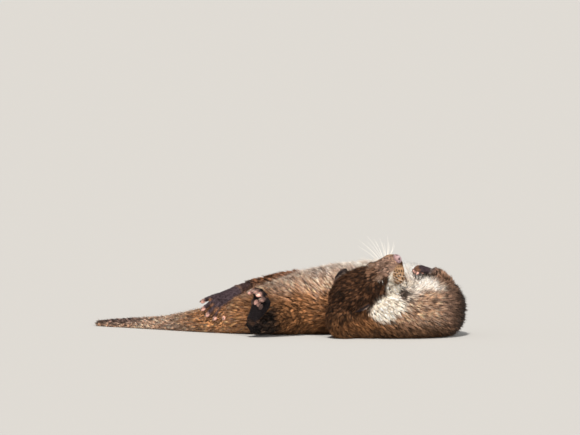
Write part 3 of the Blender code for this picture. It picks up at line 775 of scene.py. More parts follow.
@dataclass
class Markings:
    """The otter's markings, with painted light and shade among them, the same for skin and coat."""

    head: Head
    face: Face
    feet: dict[str, Foot]
    # The dark back, darkened further as painted shade where the body meets the floor.
    dark_back_and_shade: Triple = (0.120, 0.056, 0.024)
    back: Triple = (0.220, 0.095, 0.036)
    flank: Triple = (0.330, 0.148, 0.060)
    side: Triple = (0.610, 0.370, 0.245)
    belly: Triple = (0.550, 0.400, 0.320)
    # The pale belly's midline, lightened as a painted rim light along the top edge.
    pale_midline_and_rim_light: Triple = (0.800, 0.690, 0.600)
    crown: Triple = (0.080, 0.034, 0.016)
    chin: Triple = (0.560, 0.450, 0.370)
    whisker_pad: Triple = (0.430, 0.255, 0.138)
    dot: Triple = (0.022, 0.012, 0.008)
    slit: Triple = (0.020, 0.012, 0.010)
    lips: Triple = (0.045, 0.025, 0.020)
    # The ears' dark skin, darkened further as painted shade in their hollows, and their rims, lightened
    # partly as a painted highlight.
    ear_dark_and_shade: Triple = (0.016, 0.011, 0.013)
    ear_rim_and_highlight: Triple = (0.340, 0.240, 0.190)
    far_thigh: Triple = (0.165, 0.062, 0.026)
    # The near hind leg's dark fur, near-black as painted shade.
    shaded_near_leg: Triple = (0.016, 0.009, 0.006)
    elbow: Triple = (0.24, 0.130, 0.080)
    wrist: Triple = (0.22, 0.132, 0.090)
    # The feet's dark fur, its bluish cast a painted sheen of sky on wet fur.
    dark_foot_and_sky_sheen: Triple = (0.034, 0.022, 0.026)
    web: Triple = (0.36, 0.170, 0.085)
    pink: Triple = (0.520, 0.300, 0.250)

    def plain(self, colour: Triple, count: int) -> np.ndarray:
        """Rows of one colour."""
        return np.tile(np.array(colour), (count, 1))

    def lay(self, rows: np.ndarray, points: np.ndarray, tints: tuple[Tint, ...]) -> np.ndarray:
        """Lays soft patches over colours.

        Args:
            rows: The colours so far.
            points: Where they are, in the patches' frame.
            tints: The patches.

        Returns:
            The new colours.
        """
        for tint in tints:
            reach = np.linalg.norm((points - np.array(tint.place)) / np.array(tint.radii), axis=1)
            share = tint.strength * ease_off(reach, 1.0 - tint.edge, 1.0 + tint.edge)
            rows = mix(rows, tint.colour, share)
        return rows

    def trunk(self, points: np.ndarray) -> np.ndarray:
        """Dark back below, darkened further towards the floor as painted shade, brown flanks, buff
        belly above, its topmost edge lightened as a painted rim light.

        Args:
            points: Rows of x, y and z.

        Returns:
            A colour for each point.
        """
        x, z = points[:, 0], points[:, 2]
        height = z + 0.004 * np.sin(x * 90.0) + 0.003 * np.sin(x * 230.0 + 1.0)
        # The lowest band is partly painted shade, the highest partly a painted rim light.
        rows = self.plain(self.dark_back_and_shade, len(points))
        for colour, low, high in ((self.back, 0.004, 0.024), (self.flank, 0.022, 0.058),
                                  (self.side, 0.064, 0.098), (self.belly, 0.092, 0.126),
                                  (self.pale_midline_and_rim_light, 0.122, 0.140)):
            rows = mix(rows, colour, ease(height, low, high))
        return rows

    def limbs(self, rows: np.ndarray, points: np.ndarray, parts: dict[str, np.ndarray]) -> np.ndarray:
        """Lays the legs' colours over the trunk's, the near hind leg near-black towards the foot as
        painted shade.

        Args:
            rows: The colours so far.
            points: Rows of x, y and z.
            parts: How much of each node is near each point.

        Returns:
            The new colours.
        """
        rows = mix(rows, self.far_thigh, total(parts, "hind_right_thigh", "hind_right_shank"))
        # Painted shade: the near hind leg turns near-black towards the foot, where it lies in shade.
        shin_shade = 1.15 - ease(points[:, 0], -0.020, 0.030)
        rows = mix(rows, self.shaded_near_leg, parts["hind_left_leg"] * shin_shade)
        arm = ease(points[:, 2], 0.095, 0.135)
        sleeve = mix(self.plain(self.elbow, len(points)), self.wrist, arm)
        return mix(rows, sleeve, total(parts, "fore_right_leg", "fore_left_leg"))

    def faces(self, rows: np.ndarray, points: np.ndarray, parts: dict[str, np.ndarray]) -> np.ndarray:
        """Lays the colours of head, cheek, pads, eyes, lips and ears over the body's.

        Args:
            rows: The colours so far.
            points: Rows of x, y and z.
            parts: How much of each node is near each point.

        Returns:
            The new colours.
        """
        local = self.head.local(points)
        mouth = self.face.mouth(local)
        snout = total(parts, "muzzle", "jaw", "head")
        rows = mix(rows, self.lay(self.plain(self.crown, len(points)), local, HEAD_TINTS), snout)
        rows = mix(rows, self.chin, ease(-mouth, 0.0, 0.0015) * ease(local[:, 0], 0.070, 0.080) * snout)
        cheek = self.lay(rows, points, CHEEK_TINTS)
        rows = mix(rows, cheek, ease(local[:, 1], 0.012, 0.020))
        rows = mix(rows, self.whisker_pad, ease_off(self.face.pad(local), 0.85, 1.15) * snout)
        rows = mix(rows, self.dot, 0.95 * self.face.dots(local) * snout)
        rows = mix(rows, self.slit, np.clip(self.face.slit(local) * 1.4, 0, 1) * snout)
        lips = bell(mouth, 0.0011) * ease(local[:, 0], 0.056, 0.064)
        rows = mix(rows, self.lips, 0.9 * lips * snout)
        # The ear's edge lightened partly as a painted highlight, the rest dark partly as painted shade.
        rim = ease(np.abs(local[:, 1]), 0.0460, 0.0495)
        ears = mix(self.plain(self.ear_dark_and_shade, len(points)), self.ear_rim_and_highlight, rim)
        return mix(rows, ears, total(parts, *EARS))

    def feet_rows(self, points: np.ndarray) -> np.ndarray:
        """Near-black feet with pinkish toe tips and brown webs, each darkened or lightened by its tone
        as painted shade and light.

        Args:
            points: Rows of x, y and z.

        Returns:
            Rows of red, green and blue.
        """
        heels = [distance(points, foot.heel) for foot in self.feet.values()]
        # Each foot's tone paints it shaded or lit.
        lit_tones = np.array([foot.tone for foot in self.feet.values()])[np.argmin(heels, axis=0)]
        rows = np.array(self.dark_foot_and_sky_sheen) * lit_tones[:, None]
        for foot in self.feet.values():
            reach = foot.half * 0.40
            toes = foot.toes()
            for first, second in zip(toes, toes[1:]):
                web = (first[0][1] + second[0][1] + first[0][2] + second[0][2]) / 4
                rows = mix(rows, self.web, 0.75 * ease_off(distance(points, web), 0.001, 0.0075))
            for (path, _, _), share in zip(toes, foot.pinks):
                tip = ease_off(distance(points, path[3]), reach * 0.4, reach)
                rows = mix(rows, self.pink, 0.85 * min(share, 1.0) * tip)
        return rows

    def colours(self, points: np.ndarray, parts: dict[str, np.ndarray]) -> np.ndarray:
        """The marking at each point.

        Args:
            points: Rows of x, y and z.
            parts: How much of each node is near each point.

        Returns:
            Rows of red, green and blue.
        """
        rows = self.lay(self.trunk(points), points, BODY_TINTS)
        rows = self.limbs(rows, points, parts)
        rows = self.faces(rows, points, parts)
        for foot in self.feet.values():
            # The foot's dark fur runs up its leg, shaded or lit by the foot's tone as painted shade and
            # light.
            cuff = 0.85 * ease_off(distance(points, foot.heel), foot.half * 0.5, foot.half * 1.6)
            rows = mix(rows, np.array(self.dark_foot_and_sky_sheen) * foot.tone, cuff * parts[LEG_OF_FOOT[foot.name]])
        return mix(rows, self.feet_rows(points), total(parts, *PAWS))


# ---------------------------------------------------------------- the skin


@dataclass
class Skin:
    """One skin over all the flesh, inside the solids by the coat's depth."""

    head: Head
    face: Face
    feet: dict[str, Foot]
    voxel: float = 0.0016
    overlap: float = 0.0007
    wanted: int = 90000
    eye_room: float = 0.0017
    fine_ahead: float = 0.040
    relax_turns: int = 28
    firm_feet: float = 0.55
    pull_in: float = 0.50
    push_out: float = -0.52
    shrink_steps: int = 4
    lie_turns: int = 30
    throat_middle: Triple = (0.225, -0.165, 0.070)
    throat_way: Triple = (0.75, 0.0, -0.66)

    def flesh(self, nodes: dict[str, bpy.types.Object]) -> bpy.types.Object:
        """Joins grown copies of the flesh nodes and the eyes, which the lids wrap.

        Args:
            nodes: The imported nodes.

        Returns:
            One object of overlapping bodies.
        """
        bm = bmesh.new()
        for name in FLESH + tuple(EYES.values()):
            part = bmesh.new()
            part.from_mesh(nodes[name].data)
            bmesh.ops.remove_doubles(part, verts=part.verts, dist=1e-6)
            part.normal_update()
            grow = self.overlap if name in FLESH else self.eye_room
            normals = [v.normal.copy() for v in part.verts]
            for vertex, normal in zip(part.verts, normals):
                vertex.co += normal * grow
            mesh = bpy.data.meshes.new(name)
            part.to_mesh(mesh)
            part.free()
            bm.from_mesh(mesh)
            bpy.data.meshes.remove(mesh)
        whole = bpy.data.meshes.new("skin")
        bm.to_mesh(whole)
        bm.free()
        return new_object("skin", whole)

    def owners(self, nodes: dict[str, bpy.types.Object], points: np.ndarray) -> np.ndarray:
        """The number of the flesh node nearest to each point.

        Args:
            nodes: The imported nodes.
            points: Rows of x, y and z.

        Returns:
            A number in FLESH for each point.
        """
        corners, faces, owner = [], [], []
        for number, name in enumerate(FLESH):
            mesh = nodes[name].data
            start = len(corners)
            corners += [v.co.copy() for v in mesh.vertices]
            for polygon in mesh.polygons:
                faces.append([start + i for i in polygon.vertices])
                owner.append(number)
        tree = BVHTree.FromPolygons(corners, faces)
        return np.array([owner[tree.find_nearest(p)[2]] for p in points])

    def build(self, nodes: dict[str, bpy.types.Object]) -> None:
        """Fuses, thins, smooths and shrinks the skin.

        Args:
            nodes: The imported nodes.
        """
        self.obj = self.flesh(nodes)
        make_active(self.obj)
        fuse = self.obj.modifiers.new("fuse", "REMESH")
        fuse.mode = "VOXEL"
        fuse.voxel_size = self.voxel
        bpy.ops.object.modifier_apply(modifier=fuse.name)
        self.keep_largest()
        points = points_of(self.obj.data)
        owner = self.owners(nodes, points)
        fine = np.isin(owner, [FLESH.index(name) for name in FINE_NODES])
        local = self.head.local(points)
        front = (owner == FLESH.index("head")) & (local[:, 0] > self.fine_ahead)
        group = self.obj.vertex_groups.new(name="thin")
        group.add([int(i) for i in np.nonzero(~(fine | front))[0]], 1.0, "REPLACE")
        count = triangle_count(self.obj.data)
        thin = self.obj.modifiers.new("thin", "DECIMATE")
        thin.ratio = min(1.0, self.wanted / count)
        thin.vertex_group = group.name
        thin.vertex_group_factor = 4.0
        bpy.ops.object.modifier_apply(modifier=thin.name)
        self.obj.vertex_groups.clear()
        LOG.info("fused %d, thinned to %d", count, len(self.obj.data.polygons))
        self.refine_face()
        self.read()
        self.owner = self.owners(nodes, self.points)
        self.parts = self.part_shares()
        self.relax()
        self.shrink()

    def keep_largest(self) -> None:
        """Drops stray islands and inner pockets."""
        bm = bmesh.new()
        bm.from_mesh(self.obj.data)
        bm.verts.ensure_lookup_table()
        label = np.full(len(bm.verts), -1)
        sizes = []
        for start in bm.verts:
            if label[start.index] >= 0:
                continue
            number = len(sizes)
            label[start.index] = number
            stack, size = [start], 0
            while stack:
                vertex = stack.pop()
                size += 1
                for edge in vertex.link_edges:
                    other = edge.other_vert(vertex)
                    if label[other.index] < 0:
                        label[other.index] = number
                        stack.append(other)
            sizes.append(size)
        LOG.info("islands %s", sorted(sizes, reverse=True)[:6])
        best = int(np.argmax(sizes))
        bmesh.ops.delete(bm, geom=[v for v in bm.verts if label[v.index] != best], context="VERTS")
        bm.to_mesh(self.obj.data)
        bm.free()

    def on_face(self, local: np.ndarray) -> np.ndarray:
        """Which points in the head's frame are on the front of the face."""
        ahead, aside, rise = np.abs(local).T
        return (local[:, 0] > 0.050) & (ahead < 0.130) & (aside < 0.050) & (rise < 0.045)

    def on_lids(self, local: np.ndarray) -> np.ndarray:
        """Which points in the head's frame are on the lids of either eye.

        Args:
            local: Points in the head's frame.

        Returns:
            True or False for each point.
        """
        chosen = np.zeros(len(local), bool)
        for side in SIDES:
            reach, across, outside = self.face.round_eye(local, side)
            chosen |= (np.hypot(reach, across) < 0.0090) & (outside > 0.5)
        return chosen

    def refine_face(self) -> None:
        """Gives the front of the face finer faces, and the lids the finest."""
        bm = bmesh.new()
        bm.from_mesh(self.obj.data)
        bmesh.ops.triangulate(bm, faces=bm.faces)
        for choose in (self.on_face, self.on_lids):
            chosen = choose(self.head.local(np.array([f.calc_center_median() for f in bm.faces])))
            edges = {e for f, yes in zip(bm.faces, chosen) if yes for e in f.edges}
            bmesh.ops.subdivide_edges(bm, edges=list(edges), cuts=1, use_grid_fill=True)
            bmesh.ops.triangulate(bm, faces=bm.faces)
        bm.to_mesh(self.obj.data)
        bm.free()

    def read(self) -> None:
        """Reads points, triangles and edges into arrays."""
        mesh = self.obj.data
        self.points = points_of(mesh)
        self.triangles = np.array([tuple(p.vertices) for p in mesh.polygons])
        edges = np.empty(len(mesh.edges) * 2, np.int32)
        mesh.edges.foreach_get("vertices", edges)
        self.edges = edges.reshape(-1, 2)
        self.degree = np.bincount(self.edges.ravel(), minlength=len(self.points)).astype(float)

    def spread(self, values: np.ndarray) -> np.ndarray:
        """The mean of each point's neighbours.

        Args:
            values: Rows of numbers, one for each point.

        Returns:
            The neighbours' mean rows.
        """
        flat = values.reshape(len(self.points), -1)
        total = np.empty_like(flat)
        a, b = self.edges[:, 0], self.edges[:, 1]
        for k in range(flat.shape[1]):
            total[:, k] = np.bincount(a, flat[b, k], len(flat)) + np.bincount(b, flat[a, k], len(flat))
        return (total / self.degree[:, None]).reshape(values.shape)

    def part_shares(self) -> dict[str, np.ndarray]:
        """How much of each node is near each point, feathered over the skin.

        Feet and ears keep a crisp edge, and the rest runs together softly.

        Returns:
            A share for each point, by node name.
        """
        shares = np.zeros((len(self.points), len(FLESH)))
        shares[np.arange(len(self.points)), self.owner] = 1.0
        for _ in range(5):
            shares = 0.4 * shares + 0.6 * self.spread(shares)
        crisp = [FLESH.index(name) for name in PAWS + EARS]
        kept = shares[:, crisp].copy()
        for _ in range(28):
            shares = 0.3 * shares + 0.7 * self.spread(shares)
        shares[:, crisp] = 0.0
        shares /= np.maximum(shares.sum(axis=1, keepdims=True), 1e-9)
        shares *= 1.0 - kept.sum(axis=1, keepdims=True)
        shares[:, crisp] = kept
        self.grade(shares)
        self.shares = shares
        return {name: shares[:, i] for i, name in enumerate(FLESH)}

    def grade(self, shares: np.ndarray) -> None:
        """Lets the face's short hair lengthen gradually, and each foot's towards its leg.

        Args:
            shares: A share for each point and node, changed in place.
        """
        local = self.head.local(self.points)
        columns = [FLESH.index(name) for name in ("head", "muzzle", "jaw")]
        whole = shares[:, columns].sum(axis=1)
        front = ease(local[:, 0], 0.052, 0.100)
        under = ease(-local[:, 2], 0.011, 0.021)
        for column, share in zip(columns, (1.0 - front, front * (1.0 - under), front * under)):
            shares[:, column] = whole * share
        for name, leg in LEG_OF_FOOT.items():
            foot = self.feet[name]
            along = (self.points - np.array(foot.heel)) @ np.array(foot.ahead)
            furred = ease_off(along, -foot.sole * 0.05, foot.sole * 0.25)
            moved = shares[:, FLESH.index(name)] * furred
            shares[:, FLESH.index(name)] -= moved
            shares[:, FLESH.index(leg)] += moved

    def blended(self, measure: Callable[[Fur], float | Triple]) -> np.ndarray:
        """A measure of the coat, feathered over the skin.

        Args:
            measure: Picks a number or a row from a node's fur.

        Returns:
            One number or row for each point.
        """
        return self.shares @ np.array([measure(fur) for fur in FURS.values()], float)

    def relax(self) -> None:
        """Smooths out the facets without shrinking the body."""
        firmness = np.array([self.firm_feet if name in PAWS + EARS else 1.0 for name in FLESH])
        firm = (self.shares @ firmness)[:, None]
        for turn in range(self.relax_turns):
            pull = self.pull_in if turn % 2 == 0 else self.push_out
            self.points = self.points + firm * pull * (self.spread(self.points) - self.points)

    def find_normals(self) -> np.ndarray:
        """The points' normals, weighted by area.

        Returns:
            Unit rows.
        """
        a, b, c = (self.points[self.triangles[:, k]] for k in range(3))
        faces = np.cross(b - a, c - a)
        rows = np.zeros_like(self.points)
        for k in range(3):
            for axis in range(3):
                rows[:, axis] += np.bincount(self.triangles[:, k], faces[:, axis], len(rows))
        return unit(rows)

    def shrink(self) -> None:
        """Moves the skin in by the coat's depth."""
        depth = self.blended(lambda fur: fur.depth)
        near_eye = np.ones(len(self.points))
        for eye in self.head.eyes.values():
            near_eye = np.minimum(near_eye, ease(distance(self.points, eye), 0.007, 0.016))
        depth = depth * near_eye + 0.0002 * (1 - near_eye) + self.overlap
        for _ in range(self.shrink_steps):
            normals = self.find_normals()
            for _ in range(3):
                normals = unit(0.5 * normals + 0.5 * self.spread(normals))
            self.points = self.points - normals * (depth / self.shrink_steps)[:, None]
        for _ in range(2):
            self.points = self.points + 0.3 * (self.spread(self.points) - self.points)
        skull = total(self.parts, "head", "muzzle", "jaw")
        relief = self.face.relief(self.head.local(self.points)) * ease(skull, 0.3, 0.7)
        self.points = self.points + self.find_normals() * relief[:, None]
        self.normals = self.find_normals()
        self.bare = self.bareness()

    def bareness(self) -> np.ndarray:
        """Where no tufts grow: on the pads and between the lids.

        Returns:
            0 to 1 for each point.
        """
        local = self.head.local(self.points)
        bare = np.clip(self.face.slit(local) * 4.0, 0.0, 1.0)
        for foot in self.feet.values():
            for middle, _, sole, radii in foot.pads():
                near = distance(self.points, middle) < radii[0] * 1.25
                facing = self.normals @ np.array(sole) > -0.1
                bare = np.maximum(bare, near & facing)
        return bare

    def lie(self) -> np.ndarray:
        """The way the coat lies at each point, along the skin.

        Returns:
            Unit rows in the skin's tangent planes.
        """
        ways = self.blended(lambda fur: fur.lie)
        y, z = self.points[:, 1], self.points[:, 2]
        up = 1.75 * ease(z, 0.020, 0.125) - 0.25
        ways[:, 2] += total(self.parts, "belly", "chest", "rump") * up * ease(-y, -0.01, 0.05)
        neck = total(self.parts, "neck", "neck_base")
        ways[:, 2] += neck * np.clip((z - 0.060) * 8.0, -0.45, 0.45)
        throat = np.linalg.norm((self.points - np.array(self.throat_middle)) / 0.045, axis=1)
        ways = mix(ways, self.throat_way, ease_off(throat, 0.5, 1.2))
        for _ in range(self.lie_turns):
            ways = unit(flatten(0.5 * ways + 0.5 * self.spread(ways), self.normals))
        return ways

    def write(self) -> None:
        """Writes the points back into the mesh."""
        mesh = self.obj.data
        mesh.vertices.foreach_set("co", self.points.astype(np.float32).ravel())
        mesh.update()
        shade_smooth(mesh)

    def unwrap(self) -> None:
        """Unwraps the skin into islands by the skin's own shape."""
        make_active(self.obj)
        self.obj.data.uv_layers.new(name=BAKE_MAP)
        bpy.ops.object.mode_set(mode="EDIT")
        bpy.ops.mesh.select_all(action="SELECT")
        bpy.ops.uv.smart_project(angle_limit=1.15, island_margin=0.002)
        bpy.ops.object.mode_set(mode="OBJECT")
        flat = np.empty(len(self.obj.data.loops) * 2, np.float32)
        self.obj.data.uv_layers[BAKE_MAP].data.foreach_get("uv", flat)
        self.unwrapped = flat.reshape(-1, 3, 2)

    def finish(self, markings: Markings) -> None:
        """Colours the skin, darker under the long hair than under the short as painted shade under the
        fur, and hands it over.

        Args:
            markings: The otter's markings.
        """
        self.ways = self.lie()
        self.write()
        self.unwrap()
        rows = markings.colours(self.points, self.parts)
        # Painted shade: the skin is darkened where long hair would shade it.
        long_hair = ease(self.blended(lambda fur: fur.length), 0.003, 0.012)
        under_fur_shade = 0.75 - 0.45 * long_hair * (1.0 - 0.6 * lightness(rows, 0.40, 0.70))
        paint(self.obj.data, rows * under_fur_shade[:, None])
        self.obj.data.materials.clear()
        self.obj.data.materials.append(SKIN_FINISH.material())
        settle(self.obj, Slot.COAT, *FLESH)


# ---------------------------------------------------------------- the coat


@dataclass(frozen=True)
class Patch:
    """A piece of the coat: which nodes it covers, how many tufts it has and how many make a lock."""

    name: str
    nodes: tuple[str, ...]
    tufts: int
    lock: int


PATCHES = (
    Patch("coat_tail", ("tail_tip", "tail_middle", "tail_base"), 30000, 9),
    Patch("coat_rump", ("rump",), 26000, 9),
    Patch("coat_belly", ("belly",), 30000, 9),
    Patch("coat_chest", ("chest",), 28000, 9),
    Patch("coat_shoulders", ("shoulders",), 24000, 9),
    Patch("coat_neck", ("neck", "neck_base"), 33000, 8),
    Patch("coat_head", ("head",), 33000, 14),
    Patch("coat_face", ("muzzle", "jaw", "ear_left", "ear_right"), 20000, 22),
    Patch("coat_legs", ("hind_left_leg", "hind_right_thigh", "hind_right_shank", "fore_right_leg",
                        "fore_left_leg") + PAWS, 24000, 12),
)


# A tuft's triangles round its root 0, middle points 1 to 3 and tip 4, and their places in its patch.
TUFT_FACES = ((0, 1, 2), (0, 3, 1), (0, 2, 3), (4, 2, 1), (4, 1, 3), (4, 3, 2))
TUFT_MAP = ((0.5, 0.0), (0.0, 0.5), (1.0, 0.5), (0.5, 0.5), (0.5, 1.0))
ROOT_DEPTH = 0.0006  # how far a root is sunk in the skin
FLOOR_GAP = 0.0004  # the lowest that a tuft may lie
DARK_CREAM = (0.30, 0.180, 0.105)  # the tips' tint on dark fur, partly pale hair tips and partly painted highlights
PALE_CREAM = (0.68, 0.585, 0.525)  # and on pale fur


@dataclass
class Roots:
    """Where the tufts of a piece grow: the skin's triangle under each, and its place in it."""

    skin: Skin
    face: np.ndarray
    shares: np.ndarray

    def at(self, values: np.ndarray) -> np.ndarray:
        """The skin's values at the roots.

        Args:
            values: One number or row for each of the skin's points.

        Returns:
            One number or row for each root.
        """
        picked = values[self.skin.triangles[self.face]]
        if picked.ndim == 2:
            return np.sum(picked * self.shares, axis=1)
        return np.sum(picked * self.shares[:, :, None], axis=1)

    def on_map(self) -> np.ndarray:
        """The roots' places on the unwrap of the skin."""
        return np.sum(self.skin.unwrapped[self.face] * self.shares[:, :, None], axis=1)


@dataclass
class Tufts:
    """The tufts of one piece while they grow, gathered in damp locks.

    loose is 0 where the hair is so short that it forms no locks, and 1 on the body.
    """

    roots: Roots
    length: np.ndarray
    width: np.ndarray
    lift: np.ndarray
    rng: np.random.Generator
    guard_share: float = 0.30

    def __post_init__(self) -> None:
        """Reads the skin under the roots."""
        skin = self.roots.skin
        self.count = len(self.length)
        self.root = self.roots.at(skin.points)
        self.normal = unit(self.roots.at(skin.normals))
        self.way = unit(flatten(self.roots.at(skin.ways), self.normal))
        self.loose = ease(self.length, 0.0010, 0.0065)
        self.parts = {name: self.roots.at(skin.shares[:, i]) for i, name in enumerate(FLESH)}

    def gather(self, size: int) -> None:
        """Gathers neighbouring tufts into locks.

        Args:
            size: How many tufts make a lock.
        """
        self.locks = max(self.count // size, 1)
        self.leaders = self.root[self.rng.choice(self.count, size=self.locks, replace=False)]
        tree = KDTree(self.locks)
        for i, leader in enumerate(self.leaders):
            tree.insert(leader, i)
        tree.balance()
        self.lock = np.array([tree.find(p)[1] for p in self.root])

    def stray(self, spread: float) -> np.ndarray:
        """A chance number round 0 for each tuft."""
        return self.rng.normal(0.0, spread, self.count)

    def lock_stray(self, spread: float) -> np.ndarray:
        """A chance number round 0 that each tuft shares with its lock."""
        return self.rng.normal(0.0, spread, self.locks)[self.lock]

    def between(self, low: float, high: float) -> np.ndarray:
        """A chance number between two for each tuft."""
        return self.rng.uniform(low, high, self.count)

    def shape(self) -> np.ndarray:
        """Shapes the tufts: a sunk root, three points round the middle and a tip.

        Returns:
            Five points for each tuft.
        """
        self.guard = self.rng.random(self.count) < self.guard_share
        length = self.length * self.between(0.72, 1.12) * np.where(self.guard, 1.20, 1.0)
        width = self.width * self.between(0.75, 1.2) * np.where(self.guard, 0.60, 1.0)
        lift = self.lift * self.between(0.70, 1.20) * np.where(self.guard, 1.20, 1.0)
        lift = lift * (1.0 + self.loose * self.lock_stray(0.24))
        turn = self.stray(0.07) + self.loose * self.lock_stray(0.11)
        root, normal = self.root, self.normal
        across = np.cross(normal, self.way)
        way = unit(self.way * np.cos(turn)[:, None] + across * np.sin(turn)[:, None])
        across = np.cross(normal, way)
        tip = root + (way * np.cos(lift)[:, None] + normal * np.sin(lift)[:, None]) * length[:, None]
        pull = self.between(0.55, 0.95) * self.loose
        tip = tip - (root - self.leaders[self.lock]) * pull[:, None]
        middle = root * 0.58 + tip * 0.42 + normal * (length * 0.06)[:, None]
        half = (width / 2)[:, None]
        sunk = root - normal * ROOT_DEPTH
        points = np.stack([sunk, middle + across * half, middle - across * half,
                           middle + normal * half * 0.75, tip], axis=1)
        points[:, :, 2] = np.maximum(points[:, :, 2], FLOOR_GAP)
        return points

    def colour(self, marking: np.ndarray) -> np.ndarray:
        """Colours the tufts: dark at the root as painted shade deep in the coat, lock by lock in the
        middle, paler at many tips, partly pale hair tips and partly painted highlights.

        Args:
            marking: The marking at each root.

        Returns:
            Five colours for each tuft.
        """
        light, bright = lightness(marking, 0.40, 0.70), lightness(marking, 0.09, 0.34)
        tail = total(self.parts, "tail_tip", "tail_middle", "tail_base")
        rough = self.loose * (0.62 + 0.26 * self.parts["head"] + 0.12 * tail) * (1.0 - 0.62 * light)
        tone = np.exp(rough * self.lock_stray(1.0) - rough ** 2 / 2 + self.stray(0.16))
        tone = np.clip(tone, 0.18, 2.3)
        # Painted shade: roots darkened as the shade deep in the coat, less on pale fur.
        low = marking * (0.14 + 0.74 * light)[:, None]
        mid = marking * (tone * (0.68 + 0.32 * light))[:, None]
        pale = np.where(self.guard, self.between(0.20, 0.90), self.between(0.0, 0.26))
        pale = pale * self.paling() * (0.35 + 0.65 * bright)
        by_lock = self.rng.uniform(0.15, 1.60, self.locks)[self.lock]
        # Bright locks on dark fur get paler tips as painted highlights.
        pale = pale * (1.0 + 0.5 * tail) * by_lock + np.clip(tone - 1.0, 0.0, 1.3) * 0.22 * (1 - bright)
        pale = np.clip(pale * (1.0 - 0.9 * total(self.parts, *PAWS, *EARS)), 0.0, 1.0)[:, None]
        cream = mix(np.tile(DARK_CREAM, (self.count, 1)), PALE_CREAM, bright)
        # Tips lighter than the middle, partly pale hair tips and partly painted highlights.
        high = marking * (tone * 1.25)[:, None] * (1 - pale)
        high = high + (cream + marking * tone[:, None] * 0.8) * pale
        return np.stack([low, mid, mid, mid, high], axis=1)

    def paling(self) -> np.ndarray:
        """How pale the tips are.

        Returns:
            1 on the body, less on head, legs and feet.
        """
        parts = self.parts
        dark = total(parts, *PAWS, *EARS) * 0.95
        dark = dark + total(parts, "muzzle", "jaw") * 0.35 + parts["head"] * 0.20
        dark = dark + total(parts, "hind_right_thigh", "hind_right_shank") * 0.45
        # The near hind leg keeps almost no pale tips, to stay near-black as painted shade.
        dark = dark + parts["hind_left_leg"] * 0.93
        return np.clip(1.0 - dark, 0.0, 1.0)


@dataclass
class Coat:
    """Tufts of solid mesh that lie along the skin."""

    skin: Skin
    markings: Markings
    eye_reach: tuple[float, float] = (0.008, 0.020)
    pad_reach: tuple[float, float] = (0.90, 1.30)

    def __post_init__(self) -> None:
        """Reads what grows where."""
        skin = self.skin
        self.length = skin.blended(lambda fur: fur.length)
        self.width = skin.blended(lambda fur: fur.width)
        self.lift = np.radians(skin.blended(lambda fur: fur.lift))
        self.crowd = skin.blended(lambda fur: fur.crowd)
        for eye in skin.head.eyes.values():
            short = 0.25 + 0.75 * ease(distance(skin.points, eye), *self.eye_reach)
            self.length, self.width = self.length * short, self.width * np.sqrt(short)
            self.crowd = self.crowd / np.sqrt(short)
        pad = self.markings.face.pad(skin.head.local(skin.points))
        short = 0.24 + 0.76 * ease(pad, *self.pad_reach)
        self.length, self.width = self.length * short, self.width * short
        for foot in self.markings.feet.values():
            self.press(foot)
        a, b, c = (skin.points[skin.triangles[:, k]] for k in range(3))
        self.areas = np.linalg.norm(np.cross(b - a, c - a), axis=1) / 2
        self.face_owner = skin.owner[skin.triangles[:, 0]]

    def press(self, foot: Foot) -> None:
        """Shortens the hair of other parts where a foot presses on it.

        Args:
            foot: The foot.
        """
        line = [foot.at(foot.sole * k / 4, 0.0, 0.0) for k in range(5)]
        line += [p for path, _, _ in foot.toes() for p in path]
        away = np.min([distance(self.skin.points, p) for p in line], axis=0)
        pressed = ease_off(away, foot.half * 0.5, foot.half) * (1.0 - self.skin.parts[foot.name])
        self.length = self.length * (1.0 - 0.72 * pressed)

    def scatter(self, patch: Patch, rng: np.random.Generator) -> Roots:
        """Scatters roots over a piece's part of the skin, closer where the coat is dense.

        Args:
            patch: The piece.
            rng: Where its chance comes from.

        Returns:
            The roots.
        """
        tufts = patch.tufts
        triangles = self.skin.triangles
        numbers = [FLESH.index(name) for name in patch.nodes]
        weights = np.where(np.isin(self.face_owner, numbers), self.areas, 0.0)
        weights = weights * self.crowd[triangles].mean(axis=1)
        weights = weights * (1.0 - self.skin.bare[triangles].max(axis=1))
        LOG.info("%s: %.2f tufts per square mm", patch.name, tufts / (weights.sum() * 1e6))
        face = rng.choice(len(weights), size=tufts, p=weights / weights.sum())
        u, v = rng.random(tufts), rng.random(tufts)
        flip = u + v > 1
        u[flip], v[flip] = 1 - u[flip], 1 - v[flip]
        return Roots(self.skin, face, np.stack([1 - u - v, u, v], axis=1))

    def grow(self, patch: Patch, rng: np.random.Generator) -> None:
        """Grows one piece of the coat.

        Args:
            patch: What it covers.
            rng: Where its chance comes from.
        """
        roots = self.scatter(patch, rng)
        tufts = Tufts(roots, roots.at(self.length), roots.at(self.width), roots.at(self.lift), rng)
        tufts.gather(patch.lock)
        points = tufts.shape().reshape(-1, 3)
        colours = tufts.colour(self.markings.colours(tufts.root, tufts.parts)).reshape(-1, 3)
        base = np.arange(tufts.count)[:, None, None] * len(TUFT_MAP)
        triangles = (base + np.array(TUFT_FACES)).reshape(-1, 3)
        mesh = mesh_from(patch.name, points, triangles)
        paint(mesh, np.clip(colours, 0.0, 0.9))
        spot = BAKE_PATCH * np.array(TUFT_MAP)
        uv = (roots.on_map()[:, None, :] + spot - BAKE_PATCH / 2).reshape(-1, 2)
        layer = mesh.uv_layers.new(name=BAKE_MAP)
        layer.data.foreach_set("uv", uv[triangles.ravel()].astype(np.float32).ravel())
        shade_smooth(mesh)
        mesh.materials.append(self.material)
        settle(new_object(patch.name, mesh), Slot.COAT)

    def build(self) -> None:
        """Grows all the pieces."""
        self.material = HAIR_FINISH.material()
        for number, patch in enumerate(PATCHES):
            self.grow(patch, np.random.default_rng(SEED + number))


# ---------------------------------------------------------------- nose, eyes, whiskers, pads, claws


